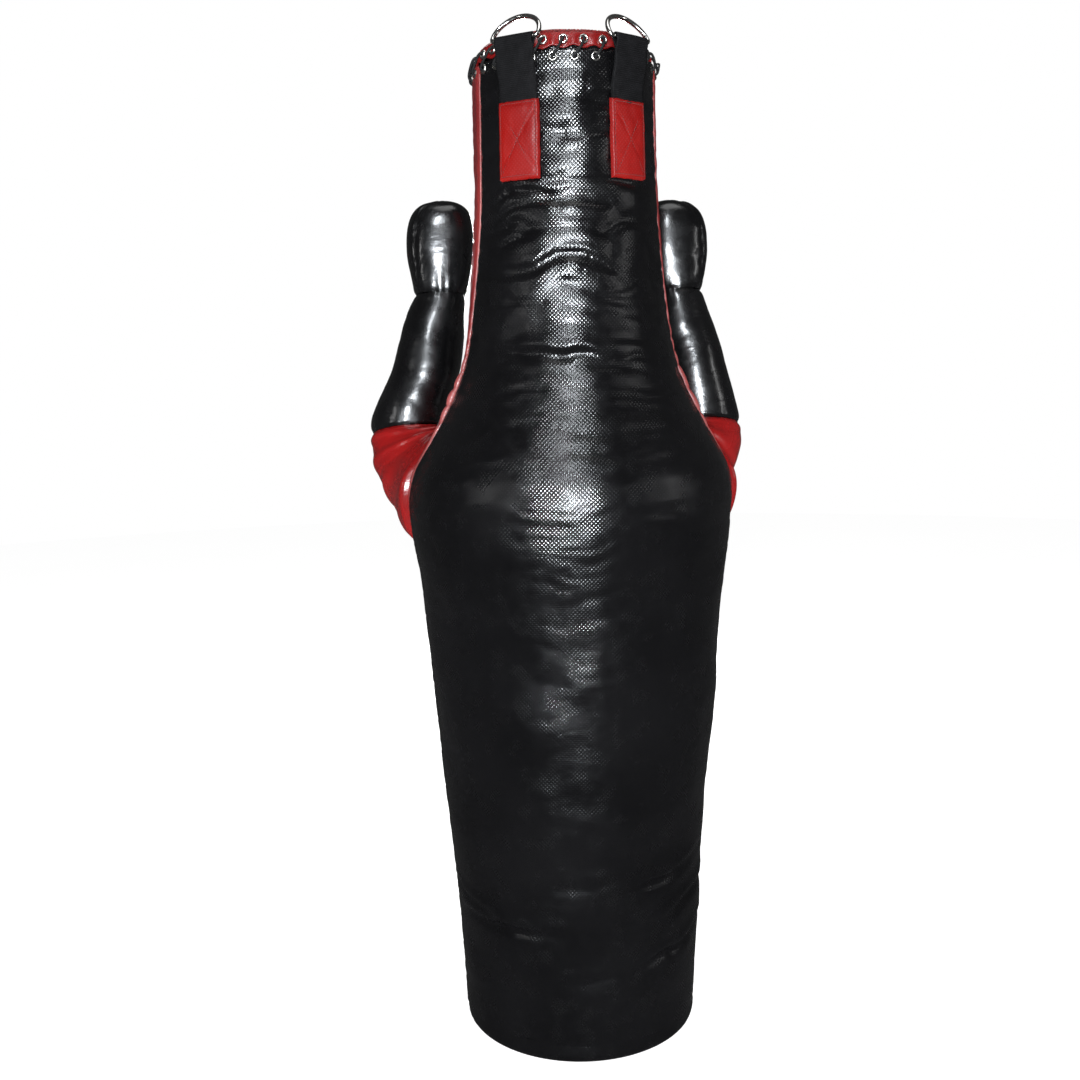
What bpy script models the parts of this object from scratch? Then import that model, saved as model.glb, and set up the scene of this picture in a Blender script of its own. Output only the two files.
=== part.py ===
"""Grappling dummy: a stuffed bag with a neck, two bent arms, a laced lid and four hanging rings.

The frame: +Z up, the base's centre on the floor at the origin, the back of the dummy towards -Y,
the arms towards +Y, and mirror symmetry about X = 0. All lengths are in metres.
"""

import math

import bmesh
import bpy
import numpy as np
from mathutils import Matrix, Vector

# ---------------------------------------------------------------- driving dimensions

GAP = 0.0003  # between pieces that touch
SKIN = 0.0018  # coated canvas
SLEEVE = 0.0020  # arm leather

# torso stations: (height, half width)
HEM = (0.030, 0.1865)
SHIN = (0.200, 0.1950)
THIGH = (0.370, 0.2095)
HIP = (0.550, 0.2240)
WAIST = (0.740, 0.2395)
ARMPIT = (0.815, 0.2520)
SHOULDER = (0.868, 0.2545)
SLOPE = (0.970, 0.2040)
COLLAR = (1.065, 0.1630)
NAPE = (1.130, 0.1535)
NECK = (1.300, 0.1400)
RIM = (1.492, 0.1365)
SHOULDER_FLATTENING = 0.07  # share of the width taken off the depth at the shoulders
BASE_EDGE = 0.012  # radius of the rounded lower edge
TORSO_SEGMENTS = 36

# seams, as angles from the middle of the back
NECK_SEAM = 70.7
COLLAR_SEAM = 78.0
SIDE_SEAM = 90.0
ARMHOLE_FRONT = 146.0
GUSSET_FOOT = 0.760  # height at which each gusset ends

# lid and lacing
EYELETS = 28  # in each row
EYELET_SIDES = 6
WALL_EYELET_HEIGHT = 1.482
LID_EYELET_HEIGHT = 1.506
LID_SKIN = 0.0022
LID_FOOT = (1.497, 0.1315)
LID_SHOULDER = (1.5200, 0.1215)
LID_TOP = 1.532
EYELET_BORE = 0.0037  # radii
EYELET_BARREL = 0.0048
EYELET_FLANGE = 0.0072
EYELET_HOLE = 0.0052
TAPE = 0.0015
LACE = 0.0018  # radius
CORE_TOP = 1.455

# hanging straps and rings
STRAP_ANGLES = (-34.5, 34.5, 145.5, -145.5)
STRAP_NAMES = ("back_left", "back_right", "front_right", "front_left")
STRAP_WIDTH = 0.060
WEBBING = 0.0018
STRAP_FOOT = 1.335
WALL_CLEAR = 0.0009  # from the round wall to the strap's flat-sided inner face
STRAP_CLEAR = 0.1440  # radius of the strap's inner face where it passes the lacing
PATCH_WIDTH = 0.064
PATCH_FOOT = 1.318
PATCH_TOP = 1.426
PATCH_SKIN = 0.0015
RING_WIRE = 0.00325  # radius
RING_HALF_WIDTH = 0.0370  # centre line
RING_BAR = (0.1455, 1.508)  # distance from the middle and height of the straight bar
RING_LEAN = 33.0  # inwards from upright
LOOP_INSIDE = 0.0041  # radius of the webbing loop round the bar

# arms, for the right side; the left is its mirror
SHOULDER_PIVOT = Vector((0.190, 0.105, 0.865))
ELBOW_PIVOT = Vector((0.258, 0.195, 0.958))
WRIST_PIVOT = Vector((0.212, 0.210, 1.172))
HAND_END = Vector((0.210, 0.226, 1.334))
SHOULDER_BALL = 0.078
ELBOW_BALL = 0.0565
WRIST_BALL = 0.0405
ARM_CLEARANCE = 0.0008
ARM_SEGMENTS = 14
SHOULDER_RANGE = (-35, 2)  # degrees, raising is positive
ELBOW_RANGE = (-50, 4)  # bending further is positive
WRIST_RANGE = (-25, 12)

VINYL_BLACK = (0.016, 0.016, 0.018, 1)
VINYL_RED = (0.420, 0.014, 0.016, 1)
PATCH_RED = (0.500, 0.018, 0.016, 1)
WEBBING_BLACK = (0.012, 0.012, 0.013, 1)
NICKEL = (0.640, 0.630, 0.600, 1)
STUFFING = (0.420, 0.400, 0.370, 1)


# ---------------------------------------------------------------- mesh helpers


def material(name, colour, roughness, metallic=0.0):
    made = bpy.data.materials.new(name)
    made.use_nodes = True
    shader = made.node_tree.nodes["Principled BSDF"]
    shader.inputs["Base Color"].default_value = colour
    shader.inputs["Roughness"].default_value = roughness
    shader.inputs["Metallic"].default_value = metallic
    made.diffuse_color = colour
    return made


def solid(name, points, faces, look=None):
    """A mesh object with its faces turned outwards."""
    mesh = bpy.data.meshes.new(name)
    mesh.from_pydata([tuple(p) for p in points], [], faces)
    work = bmesh.new()
    work.from_mesh(mesh)
    bmesh.ops.recalc_face_normals(work, faces=work.faces)
    if work.calc_volume(signed=True) < 0:
        bmesh.ops.reverse_faces(work, faces=work.faces)
    work.to_mesh(mesh)
    work.free()
    made = bpy.data.objects.new(name, mesh)
    bpy.context.scene.collection.objects.link(made)
    if look is not None:
        mesh.materials.append(look)
    return made


def join_solids(name, pieces):
    """One object from several separate solids, used only as a cutter or a boolean operand."""
    points, faces = [], []
    for piece in pieces:
        start = len(points)
        points += [tuple(piece.matrix_world @ v.co) for v in piece.data.vertices]
        faces += [[start + i for i in p.vertices] for p in piece.data.polygons]
        bpy.data.objects.remove(piece, do_unlink=True)
    mesh = bpy.data.meshes.new(name)
    mesh.from_pydata(points, [], faces)
    made = bpy.data.objects.new(name, mesh)
    bpy.context.scene.collection.objects.link(made)
    return made


def boolean(target, operand, operation="DIFFERENCE", keep=False):
    """Cut or join target with operand, and put the result in target's mesh."""
    step = target.modifiers.new(operation.title(), "BOOLEAN")
    step.operation = operation
    step.solver = "MANIFOLD"
    step.object = operand
    shape = target.evaluated_get(bpy.context.evaluated_depsgraph_get())
    old, target.data = target.data, bpy.data.meshes.new_from_object(shape)
    target.data.name = old.name
    target.modifiers.clear()
    if not keep:
        bpy.data.objects.remove(operand, do_unlink=True)
    return target


def only_triangles(piece):
    work = bmesh.new()
    work.from_mesh(piece.data)
    bmesh.ops.triangulate(work, faces=work.faces)
    work.to_mesh(piece.data)
    work.free()


def sheet(name, outer, inner, look=None):
    """A closed sheet between two matching grids of points."""
    rows, columns = len(outer), len(outer[0])
    points = [p for row in outer for p in row] + [p for row in inner for p in row]
    back = rows * columns

    def at(i, j):
        return i * columns + j

    faces = []
    for i in range(rows - 1):
        for j in range(columns - 1):
            quad = [at(i, j), at(i, j + 1), at(i + 1, j + 1), at(i + 1, j)]
            faces += [quad, [back + v for v in reversed(quad)]]
    border = [at(0, j) for j in range(columns)]
    border += [at(i, columns - 1) for i in range(1, rows)]
    border += [at(rows - 1, j) for j in range(columns - 2, -1, -1)]
    border += [at(i, 0) for i in range(rows - 2, 0, -1)]
    for a, b in zip(border, border[1:] + border[:1]):
        faces.append([b, a, back + a, back + b])
    return solid(name, points, faces, look)


def turned(name, profile, centre, axis, segments, look=None, flat=1.0, side=None):
    """A solid turned about an axis. profile is (distance along it, radius), and a radius of 0 is a pole."""
    axis = axis.normalized()
    across = (side or axis.orthogonal()).normalized()
    across = (across - axis * across.dot(axis)).normalized()
    deep = axis.cross(across)
    points, rings = [], []
    for along, radius in profile:
        if radius == 0:
            rings.append([len(points)])
            points.append(centre + axis * along)
            continue
        rings.append(list(range(len(points), len(points) + segments)))
        for k in range(segments):
            turn = math.tau * k / segments
            points.append(
                centre
                + axis * along
                + across * (radius * math.cos(turn))
                + deep * (radius * flat * math.sin(turn))
            )
    return solid(name, points, ring_faces(rings, segments), look)


def ring_faces(rings, segments, closed=False):
    faces = []
    pairs = list(zip(rings, rings[1:]))
    if closed:
        pairs.append((rings[-1], rings[0]))
    for low, high in pairs:
        for k in range(segments):
            n = (k + 1) % segments
            if len(low) == 1:
                faces.append([low[0], high[n], high[k]])
            elif len(high) == 1:
                faces.append([low[k], low[n], high[0]])
            else:
                faces.append([low[k], low[n], high[n], high[k]])
    return faces


def cord(name, path, radius, sides, look=None):
    """A closed cord along a loop of points."""
    count = len(path)
    points, rings = [], []
    normal = None
    for i, here in enumerate(path):
        along = (path[(i + 1) % count] - path[i - 1]).normalized()
        if normal is None:
            normal = along.orthogonal().normalized()
            first = normal
        normal = (normal - along * normal.dot(along)).normalized()
        binormal = along.cross(normal)
        rings.append((here, normal.copy(), binormal))
    # spread the twist left at the join over the whole loop
    here, normal, binormal = rings[0]
    along = (path[1] - path[-1]).normalized()
    last = (rings[-1][1] - along * rings[-1][1].dot(along)).normalized()
    twist = math.atan2(last.cross(first).dot(along), last.dot(first))
    indices = []
    for i, (here, normal, binormal) in enumerate(rings):
        indices.append(list(range(len(points), len(points) + sides)))
        for k in range(sides):
            turn = math.tau * k / sides + twist * i / count
            points.append(
                here + normal * (radius * math.cos(turn)) + binormal * (radius * math.sin(turn))
            )
    return solid(name, points, ring_faces(indices, sides, closed=True), look)


def arc(radius, start, end, steps):
    """Profile points of a ball centred on its pivot, between two angles from the axis in degrees."""
    found = []
    for k in range(steps + 1):
        turn = math.radians(start + (end - start) * k / steps)
        found.append((radius * math.cos(turn), abs(radius * math.sin(turn))))
    return [(s, 0.0 if r < 1e-9 else r) for s, r in found]


def curve_through(stations):
    """A smooth curve that never overshoots, as a function of the first coordinate."""
    x = np.array([s[0] for s in stations])
    y = np.array([s[1] for s in stations])
    step, slope = np.diff(x), np.diff(y) / np.diff(x)
    grade = np.zeros(len(x))
    for i in range(1, len(x) - 1):
        if slope[i - 1] * slope[i] > 0:
            a, b = 2 * step[i] + step[i - 1], step[i] + 2 * step[i - 1]
            grade[i] = (a + b) / (a / slope[i - 1] + b / slope[i])
    grade[0], grade[-1] = slope[0], slope[-1]

    def value(at):
        i = int(np.clip(np.searchsorted(x, at) - 1, 0, len(step) - 1))
        t = min(max((at - x[i]) / step[i], 0.0), 1.0)
        return float(
            (1 + 2 * t) * (1 - t) ** 2 * y[i]
            + t * (1 - t) ** 2 * step[i] * grade[i]
            + t * t * (3 - 2 * t) * y[i + 1]
            - t * t * (1 - t) * step[i] * grade[i + 1]
        )

    return value


def ease(low, high, at):
    t = min(max((at - low) / (high - low), 0.0), 1.0)
    return t * t * (3 - 2 * t)


# ---------------------------------------------------------------- torso shape

half_width = curve_through(
    [HEM, SHIN, THIGH, HIP, WAIST, ARMPIT, SHOULDER, SLOPE, COLLAR, NAPE, NECK, RIM]
)
back_seam = curve_through(
    [
        (GUSSET_FOOT, SIDE_SEAM),
        (0.83, 88.0),
        (0.90, 84.0),
        (SLOPE[0], 79.5),
        (COLLAR[0], COLLAR_SEAM),
        (1.19, 73.5),
        (NECK[0], NECK_SEAM),
        (RIM[0], NECK_SEAM),
    ]
)
front_seam = curve_through(
    [
        (GUSSET_FOOT, 92.0),
        (0.785, 130.0),
        (0.83, 143.0),
        (0.90, ARMHOLE_FRONT),
        (1.00, 128.0),
        (1.10, 108.0),
        (NECK[0], 180.0 - NECK_SEAM),
        (RIM[0], 180.0 - NECK_SEAM),
    ]
)


def torso_point(angle, height, inset=0.0):
    """A point of the torso's surface. angle is in degrees from the middle of the back towards +X."""
    flat = SHOULDER_FLATTENING * ease(0, SHOULDER[0], height) * (1 - ease(SHOULDER[0], 1.12, height))
    wide = half_width(height)
    turn = math.radians(angle)
    return Vector(
        ((wide - inset) * math.sin(turn), -(wide * (1 - flat) - inset) * math.cos(turn), height)
    )


def ring_heights(low, high):
    """Heights of the torso's rings between two heights, the same for every torso piece."""
    bands = ((HEM[0], 0.70, 4), (0.70, 1.15, 10), (1.15, RIM[0], 3))
    every = [a + (b - a) * k / n for a, b, n in bands for k in range(n)] + [RIM[0]]
    inside = [z for z in every if low + 0.004 < z < high - 0.004]
    return [low, *inside, high]


def wall_radius(height):
    """Radius of the neck's wall between its rings."""
    heights = ring_heights(HEM[0], RIM[0])
    return float(np.interp(height, heights, [half_width(z) for z in heights]))


def panel(name, low_angle, high_angle, columns, low, look):
    """A sheet of the torso's surface between two angles, from a height up to the rim."""
    outer, inner = [], []
    for z in ring_heights(low, RIM[0]):
        edge = math.degrees(GAP / 2 / half_width(z))
        first, last = low_angle + edge, high_angle - edge
        angles = [first + (last - first) * k / columns for k in range(columns + 1)]
        outer.append([torso_point(a, z) for a in angles])
        inner.append([torso_point(a, z, SKIN) for a in angles])
    return sheet(name, outer, inner, look)


def gusset_wedge(side, shrink):
    """The space a side gusset takes up, from the middle outwards, less a gap all round."""
    foot = (0.003, 0.007, 0.012, 0.018, 0.025, 0.040)
    heights = [GUSSET_FOOT, *(GUSSET_FOOT + f for f in foot)]
    heights += [z for z in ring_heights(GUSSET_FOOT, RIM[0]) if z > heights[-1] + 0.01]
    rows = []
    for z in heights:
        edge = math.degrees(shrink / half_width(z))
        low, high = back_seam(z) + edge, front_seam(z) - edge
        rise = 0.01 if z == RIM[0] else shrink * (1 - ease(0.79, 0.85, z))
        rows.append([(side * (low + (high - low) * k / 3), z + rise) for k in range(4)])
    outer, inner = ([[around(r, a, z) for a, z in row] for row in rows] for r in (0.34, 0.05))
    wedge = sheet("gusset_wedge", outer, inner)
    work = bmesh.new()
    work.from_mesh(wedge.data)
    bmesh.ops.triangulate(work, faces=work.faces, quad_method="FIXED")
    work.to_mesh(wedge.data)
    work.free()
    return wedge


def eyelet(centre, normal, through):
    """One eyelet: a bored barrel from the tape inside to a flange on the outer face."""
    profile = [
        (-through, EYELET_BORE),
        (GAP + 0.0013, EYELET_BORE + 0.0008),
        (GAP + 0.0004, EYELET_FLANGE),
        (GAP, EYELET_BARREL),
        (-through, EYELET_BARREL),
    ]
    axis = normal.normalized()
    across = axis.orthogonal().normalized()
    deep = axis.cross(across)
    points, rings = [], []
    for along, radius in profile:
        rings.append(list(range(len(points), len(points) + EYELET_SIDES)))
        for k in range(EYELET_SIDES):
            turn = math.tau * k / EYELET_SIDES
            points.append(
                centre
                + axis * along
                + across * (radius * math.cos(turn))
                + deep * (radius * math.sin(turn))
            )
    return solid("eyelet", points, ring_faces(rings, EYELET_SIDES, closed=True))


def around(radius, angle, height):
    turn = math.radians(angle)
    return Vector((radius * math.sin(turn), -radius * math.cos(turn), height))


# ---------------------------------------------------------------- start clean

for old in list(bpy.data.objects):
    bpy.data.objects.remove(old, do_unlink=True)

black_canvas = material("black_canvas", VINYL_BLACK, 0.42)
black_canvas_front = material("black_canvas_front", VINYL_BLACK, 0.42)
red_vinyl = material("red_vinyl", VINYL_RED, 0.35)
base_vinyl = material("base_vinyl", VINYL_BLACK, 0.30)
lid_vinyl = material("lid_vinyl", VINYL_RED, 0.35)
webbing_look = material("webbing", WEBBING_BLACK, 0.85)
patch_look = material("patch_vinyl", PATCH_RED, 0.45)
lace_look = material("lace_cord", WEBBING_BLACK, 0.80)
nickel = material("nickel", NICKEL, 0.18, 1.0)
steel = material("welded_steel", NICKEL, 0.14, 1.0)
stuffing = material("stuffing", STUFFING, 0.95)
glossy_black = material("glossy_black_leather", VINYL_BLACK, 0.14)
glossy_red = material("glossy_red_leather", VINYL_RED, 0.16)

# ---------------------------------------------------------------- torso panels

half_columns = TORSO_SEGMENTS // 2
back_panel = panel("back_panel", -SIDE_SEAM, SIDE_SEAM, half_columns, HEM[0] + GAP, black_canvas)
front_panel = panel(
    "front_panel", SIDE_SEAM, 360 - SIDE_SEAM, half_columns, HEM[0] + GAP, black_canvas_front
)
gussets = {}
for side, label in ((1, "right"), (-1, "left")):
    wedge = gusset_wedge(side, 0.0)
    boolean(back_panel, wedge, keep=True)
    boolean(front_panel, wedge)
    bounds = sorted((side * 60.0, side * 150.0))
    gusset = panel(f"side_gusset_{label}", *bounds, 9, GUSSET_FOOT - 0.01, red_vinyl)
    gussets[side] = boolean(gusset, gusset_wedge(side, 2 * GAP), "INTERSECT")


def base_profile(inset):
    """(height, radius) down the rounded lower edge to the floor."""
    centre = (BASE_EDGE, half_width(HEM[0]) - BASE_EDGE)
    found = [(HEM[0], half_width(HEM[0]) - inset)]
    for k in range(4):
        turn = math.radians(90 * k / 3)
        reach = BASE_EDGE - inset
        found.append((centre[0] - reach * math.sin(turn), centre[1] + reach * math.cos(turn)))
    return found


outer_edge, inner_edge = base_profile(0), base_profile(SKIN)[::2]
base_panel = turned(
    "base_panel",
    [(0, 0.0), *reversed(outer_edge), *inner_edge, (SKIN, 0.0)],
    Vector((0, 0, 0)),
    Vector((0, 0, 1)),
    TORSO_SEGMENTS,
    base_vinyl,
    side=Vector((0, -1, 0)),
)

core_inset = SKIN + GAP + 0.0010
core_rings = []
core_points = []
core_segments = 28
for z, radius in reversed(base_profile(core_inset)[::2]):
    core_rings.append(list(range(len(core_points), len(core_points) + core_segments)))
    core_points += [around(radius, 360 * k / core_segments, z) for k in range(core_segments)]
for z in ring_heights(HEM[0] + GAP, CORE_TOP)[1:]:
    core_rings.append(list(range(len(core_points), len(core_points) + core_segments)))
    core_points += [
        torso_point(360 * k / core_segments, z, core_inset) for k in range(core_segments)
    ]
core_faces = ring_faces(core_rings, core_segments)
core_faces += [list(reversed(core_rings[0])), core_rings[-1]]
core_fill = solid("core_fill", core_points, core_faces, stuffing)

# ---------------------------------------------------------------- eyelet rows

wall_spots = [
    (around(RIM[1], 360 * k / EYELETS, WALL_EYELET_HEIGHT), around(1, 360 * k / EYELETS, 0))
    for k in range(EYELETS)
]
lid_profile = [
    LID_FOOT,
    (LID_EYELET_HEIGHT, 0.1300),
    (1.5155, 0.1275),
    LID_SHOULDER,
    (1.5260, 0.1000),
    (1.5305, 0.0600),
    (LID_TOP, 0.0),
]
lid_tilt = math.atan2(LID_FOOT[1] - 0.1275, 1.5155 - LID_FOOT[0])
lid_spots = [
    (
        around(0.1300, 360 * (k + 0.5) / EYELETS, LID_EYELET_HEIGHT),
        around(math.cos(lid_tilt), 360 * (k + 0.5) / EYELETS, math.sin(lid_tilt)),
    )
    for k in range(EYELETS)
]


def holes(spots, radius, depth):
    return join_solids(
        "holes",
        [
            turned("hole", [(-depth, 0.0), (-depth, radius), (depth, radius), (depth, 0.0)], c, n, EYELET_SIDES)
            for c, n in spots
        ],
    )


cutter = holes(wall_spots, EYELET_HOLE, 0.004)
for piece in (back_panel, front_panel, *gussets.values()):
    boolean(piece, cutter, keep=True)
bpy.data.objects.remove(cutter, do_unlink=True)

lid_inner = [
    (LID_FOOT[0], LID_FOOT[1] - LID_SKIN),
    (1.5140, 0.1280 - LID_SKIN),
    (LID_SHOULDER[0] - 0.0020, LID_SHOULDER[1] - LID_SKIN),
    (1.5240, 0.0980),
    (LID_TOP - LID_SKIN, 0.0),
]
lid = turned(
    "lid",
    [*reversed(lid_profile), *lid_inner],
    Vector((0, 0, 0)),
    Vector((0, 0, 1)),
    EYELETS,
    lid_vinyl,
    side=around(1, 180 / EYELETS, 0),
)
boolean(lid, holes(lid_spots, EYELET_HOLE, 0.004))


def tape_ring(name, low, high, start):
    """A closed strip inside a wall, from (height, outer radius) low to high, with a corner at each eyelet."""
    rings, points = [], []
    for z, r in (low, high, (high[0], high[1] - TAPE), (low[0], low[1] - TAPE)):
        rings.append(list(range(len(points), len(points) + EYELETS)))
        points += [around(r, 360 * (k + start) / EYELETS, z) for k in range(EYELETS)]
    return solid(name, points, ring_faces(rings, EYELETS, closed=True), nickel)


def eyelet_row(name, spots, low, high, skin, start):
    """Eyelets clinched through a wall on to one strip of tape inside it."""
    row = tape_ring(name, low, high, start)
    reach = skin + GAP + TAPE * 0.6
    boolean(row, holes(spots, EYELET_BORE + 0.0004, 0.008))
    boolean(row, join_solids("eyelets", [eyelet(c, n, reach + 0.0006) for c, n in spots]), "UNION")
    return row


wall_inside = RIM[1] - SKIN - 0.0006
eyelet_row("wall_eyelets", wall_spots, (1.4735, wall_inside), (1.4905, wall_inside), SKIN, 0.0)


def lid_inside(z):
    return LID_FOOT[1] - (z - LID_FOOT[0]) * math.tan(lid_tilt) - LID_SKIN - 0.0006


eyelet_row(
    "lid_eyelets",
    lid_spots,
    (1.4985, lid_inside(1.4985)),
    (1.5135, lid_inside(1.5135)),
    LID_SKIN,
    0.5,
)

# ---------------------------------------------------------------- lace

lace_path = []
reach_in = SKIN + GAP + TAPE + 0.0046
for k in reversed(range(EYELETS)):
    low, low_out = wall_spots[k]
    high, high_out = lid_spots[k]
    next_high, next_out = lid_spots[k - 1]
    lace_path += [
        high + high_out * 0.0042,
        around(0.1418, 360 * (k + 0.25) / EYELETS, 1.4945),
        low + low_out * 0.0042,
        low - low_out * reach_in,
        next_high - next_out * reach_in,
    ]
lace = cord("lace", lace_path, LACE, 5, lace_look)
knot_centre = around(0.1440, 360 * 6.25 / EYELETS, 1.4945)
knot = turned("knot", arc(0.0058, 180, 0, 6), knot_centre, Vector((0, 0, 1)), 8)
tails = [
    turned(
        "tail",
        [(0, 0.0), (0, LACE), (0.018, LACE), (0.019, 0.0)],
        knot_centre,
        Vector((around(1, 360 * 6.25 / EYELETS + lean, 0).x, around(1, 360 * 6.25 / EYELETS + lean, 0).y, fall)),
        6,
    )
    for lean, fall in ((-30, -0.9), (35, -0.6))
]
boolean(lace, knot, "UNION")
for tail in tails:
    boolean(lace, tail, "UNION")
only_triangles(lace)

# ---------------------------------------------------------------- straps, patches, rings


def on_strap(angle, across, radius, height):
    """A point across a strap: round the wall below, flat at the ring."""
    flat = ease(1.440, 1.490, height)
    turn = math.radians(angle)
    bent = around(radius, angle + math.degrees(across / radius), height)
    out = Vector((math.sin(turn), -math.cos(turn), 0))
    along = Vector((math.cos(turn), math.sin(turn), 0))
    straight = out * radius + along * across + Vector((0, 0, height))
    return bent.lerp(straight, flat)


def strap_middle(height):
    """Radius of the surface between the strap's two layers."""
    wall = wall_radius(height) + WALL_CLEAR + WEBBING + GAP / 2
    passing = STRAP_CLEAR + WEBBING + GAP / 2
    drawn_in = passing + (RING_BAR[0] - passing) * ease(1.4945, RING_BAR[1], height)
    return wall + (drawn_in - wall) * ease(1.440, 1.478, height)


def layer_offset(height):
    """Distance from the strap's middle surface to the middle of either layer."""
    close = (WEBBING + GAP) / 2
    return close + (LOOP_INSIDE + WEBBING / 2 - close) * ease(1.4955, 1.505, height)


def make_strap(name, angle):
    heights = [STRAP_FOOT, 1.378, 1.440, 1.459, 1.478, 1.4955, 1.500, 1.505]
    middle = [(strap_middle(z) + layer_offset(z), z) for z in heights]
    for k in range(6):
        turn = math.radians(180 * k / 5)
        reach = LOOP_INSIDE + WEBBING / 2
        middle.append((RING_BAR[0] + reach * math.cos(turn), RING_BAR[1] + reach * math.sin(turn)))
    middle += [(strap_middle(z) - layer_offset(z), z) for z in reversed(heights)]
    outer, inner = [], []
    for i, (r, z) in enumerate(middle):
        before, after = middle[max(i - 1, 0)], middle[min(i + 1, len(middle) - 1)]
        run = Vector((after[0] - before[0], after[1] - before[1])).normalized()
        side = Vector((run.y, -run.x)) * (WEBBING / 2)
        columns = [STRAP_WIDTH * (k / 3 - 0.5) for k in range(4)]
        outer.append([on_strap(angle, u, r + side.x, z + side.y) for u in columns])
        inner.append([on_strap(angle, u, r - side.x, z - side.y) for u in columns])
    return sheet(name, outer, inner, webbing_look)


def make_patch(name, angle):
    """A patch with its edges turned down round the strap's sewn end."""
    heights = [PATCH_FOOT, STRAP_FOOT - 0.0012, 1.378, PATCH_TOP]
    columns = [PATCH_WIDTH * (k / 6 - 0.5) for k in range(7)]
    over = WALL_CLEAR + 2 * WEBBING + 3 * GAP

    def grid(rows, cols, rise):
        return [
            [around(wall_radius(z) + rise, angle + math.degrees(u / RIM[1]), z) for u in cols]
            for z in rows
        ]

    patch = sheet(
        name, grid(heights, columns, over + PATCH_SKIN), grid(heights, columns, GAP), patch_look
    )
    inside = [STRAP_FOOT - 0.0006, 1.378, PATCH_TOP + 0.004]
    width = STRAP_WIDTH + 2 * GAP
    cols = [width * (k / 6 - 0.5) for k in range(7)]
    return boolean(patch, sheet("recess", grid(inside, cols, over), grid(inside, cols, -0.003)))


def make_ring(name, angle):
    """A welded ring: a straight bar in the strap's loop and a round bow."""
    turn = math.radians(angle)
    out = Vector((math.sin(turn), -math.cos(turn), 0))
    along = Vector((math.cos(turn), math.sin(turn), 0))
    lean = math.radians(RING_LEAN)
    rise = Vector((0, 0, math.cos(lean))) - out * math.sin(lean)
    bar = out * RING_BAR[0] + Vector((0, 0, RING_BAR[1]))
    corner = 0.0035
    flat = [(u, 0.0) for u in (-0.5 * RING_HALF_WIDTH, 0.5 * RING_HALF_WIDTH)]
    flat += [
        (
            RING_HALF_WIDTH - corner + corner * math.sin(math.radians(a)),
            corner - corner * math.cos(math.radians(a)),
        )
        for a in (0, 45, 90)
    ]
    bow = RING_HALF_WIDTH
    flat += [
        (bow * math.cos(math.radians(a)), corner + bow * math.sin(math.radians(a)))
        for a in range(20, 180, 20)
    ]
    flat += [(-u, v) for u, v in reversed(flat[2:5])]
    return cord(name, [bar + along * u + rise * v for u, v in flat], RING_WIRE, 7, steel)


for label, angle in zip(STRAP_NAMES, STRAP_ANGLES):
    make_strap(f"strap_{label}", angle)
    make_patch(f"strap_patch_{label}", angle)
    make_ring(f"d_ring_{label}", angle)

# ---------------------------------------------------------------- arms

upper_axis = (ELBOW_PIVOT - SHOULDER_PIVOT).normalized()
fore_axis = (WRIST_PIVOT - ELBOW_PIVOT).normalized()
hand_axis = (HAND_END - WRIST_PIVOT).normalized()
upper_length = (ELBOW_PIVOT - SHOULDER_PIVOT).length
fore_length = (WRIST_PIVOT - ELBOW_PIVOT).length
hand_length = (HAND_END - WRIST_PIVOT).length
lift_axis = upper_axis.cross(Vector((0, 0, 1))).normalized()
elbow_axis = upper_axis.cross(fore_axis).normalized()
wrist_axis = Vector((1, 0, 0))


def arm_profile(ball, stations):
    """A ball on the pivot that runs into (share of the length, radius) stations."""
    return arc(ball, 180, 80, 4) + stations


UPPER_STATIONS = [
    (0.050, 0.0735),
    (0.095, 0.0640),
    (upper_length - 0.006, 0.0580),
    (upper_length - 0.006, 0.0),
]
FORE_STATIONS = [
    (0.050, 0.0595),
    (0.100, 0.0580),
    (0.155, 0.0500),
    (fore_length - 0.006, 0.0425),
    (fore_length - 0.006, 0.0),
]
HAND_STATIONS = [
    (0.024, 0.0430),
    (0.052, 0.0530),
    (0.090, 0.0585),
    (0.124, 0.0565),
    (0.149, 0.0450),
    (hand_length - 0.004, 0.0240),
    (hand_length, 0.0),
]


def thinner(profile, by):
    """The same profile moved inwards, ends included."""
    first, last = profile[0][0], profile[-1][0]
    found = []
    for s, r in profile:
        s = min(max(s, first + by), last - by)
        found.append((s, max(r - by, 0.0)))
    return found


def mirrored(point, side):
    return Vector((point.x * side, point.y, point.z))


def swept(profile, pivot, axis, hinge, limits, flat=1.0):
    """Cutters that clear a moving piece over its range: its ball once, and its length at several turns."""
    round_flats = 1 / math.cos(math.pi / ARM_SEGMENTS)  # so that the cutter's flats clear the piece
    ball = (-profile[0][0] + ARM_CLEARANCE) * round_flats**2
    length = [(s, (r + ARM_CLEARANCE) * round_flats if r else 0.0) for s, r in profile if s > 0]
    length = [(0.0, 0.0), (0.0, 0.97 * ball), *length[:-1], (profile[-1][0] + ARM_CLEARANCE, 0.0)]
    found = [turned("sweep", arc(ball, 180, 0, 7), pivot, axis, ARM_SEGMENTS, side=wrist_axis)]
    for k in range(4):
        turn = Matrix.Rotation(math.radians(limits[0] + (limits[1] - limits[0]) * k / 3), 3, hinge)
        found.append(
            turned("sweep", length, pivot, turn @ axis, ARM_SEGMENTS, None, flat, turn @ wrist_axis)
        )
    return found


def cut_all(piece, cutters):
    for cutter in cutters:
        boolean(piece, cutter, keep=True)


def drop(cutters):
    for cutter in cutters:
        bpy.data.objects.remove(cutter, do_unlink=True)


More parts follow.
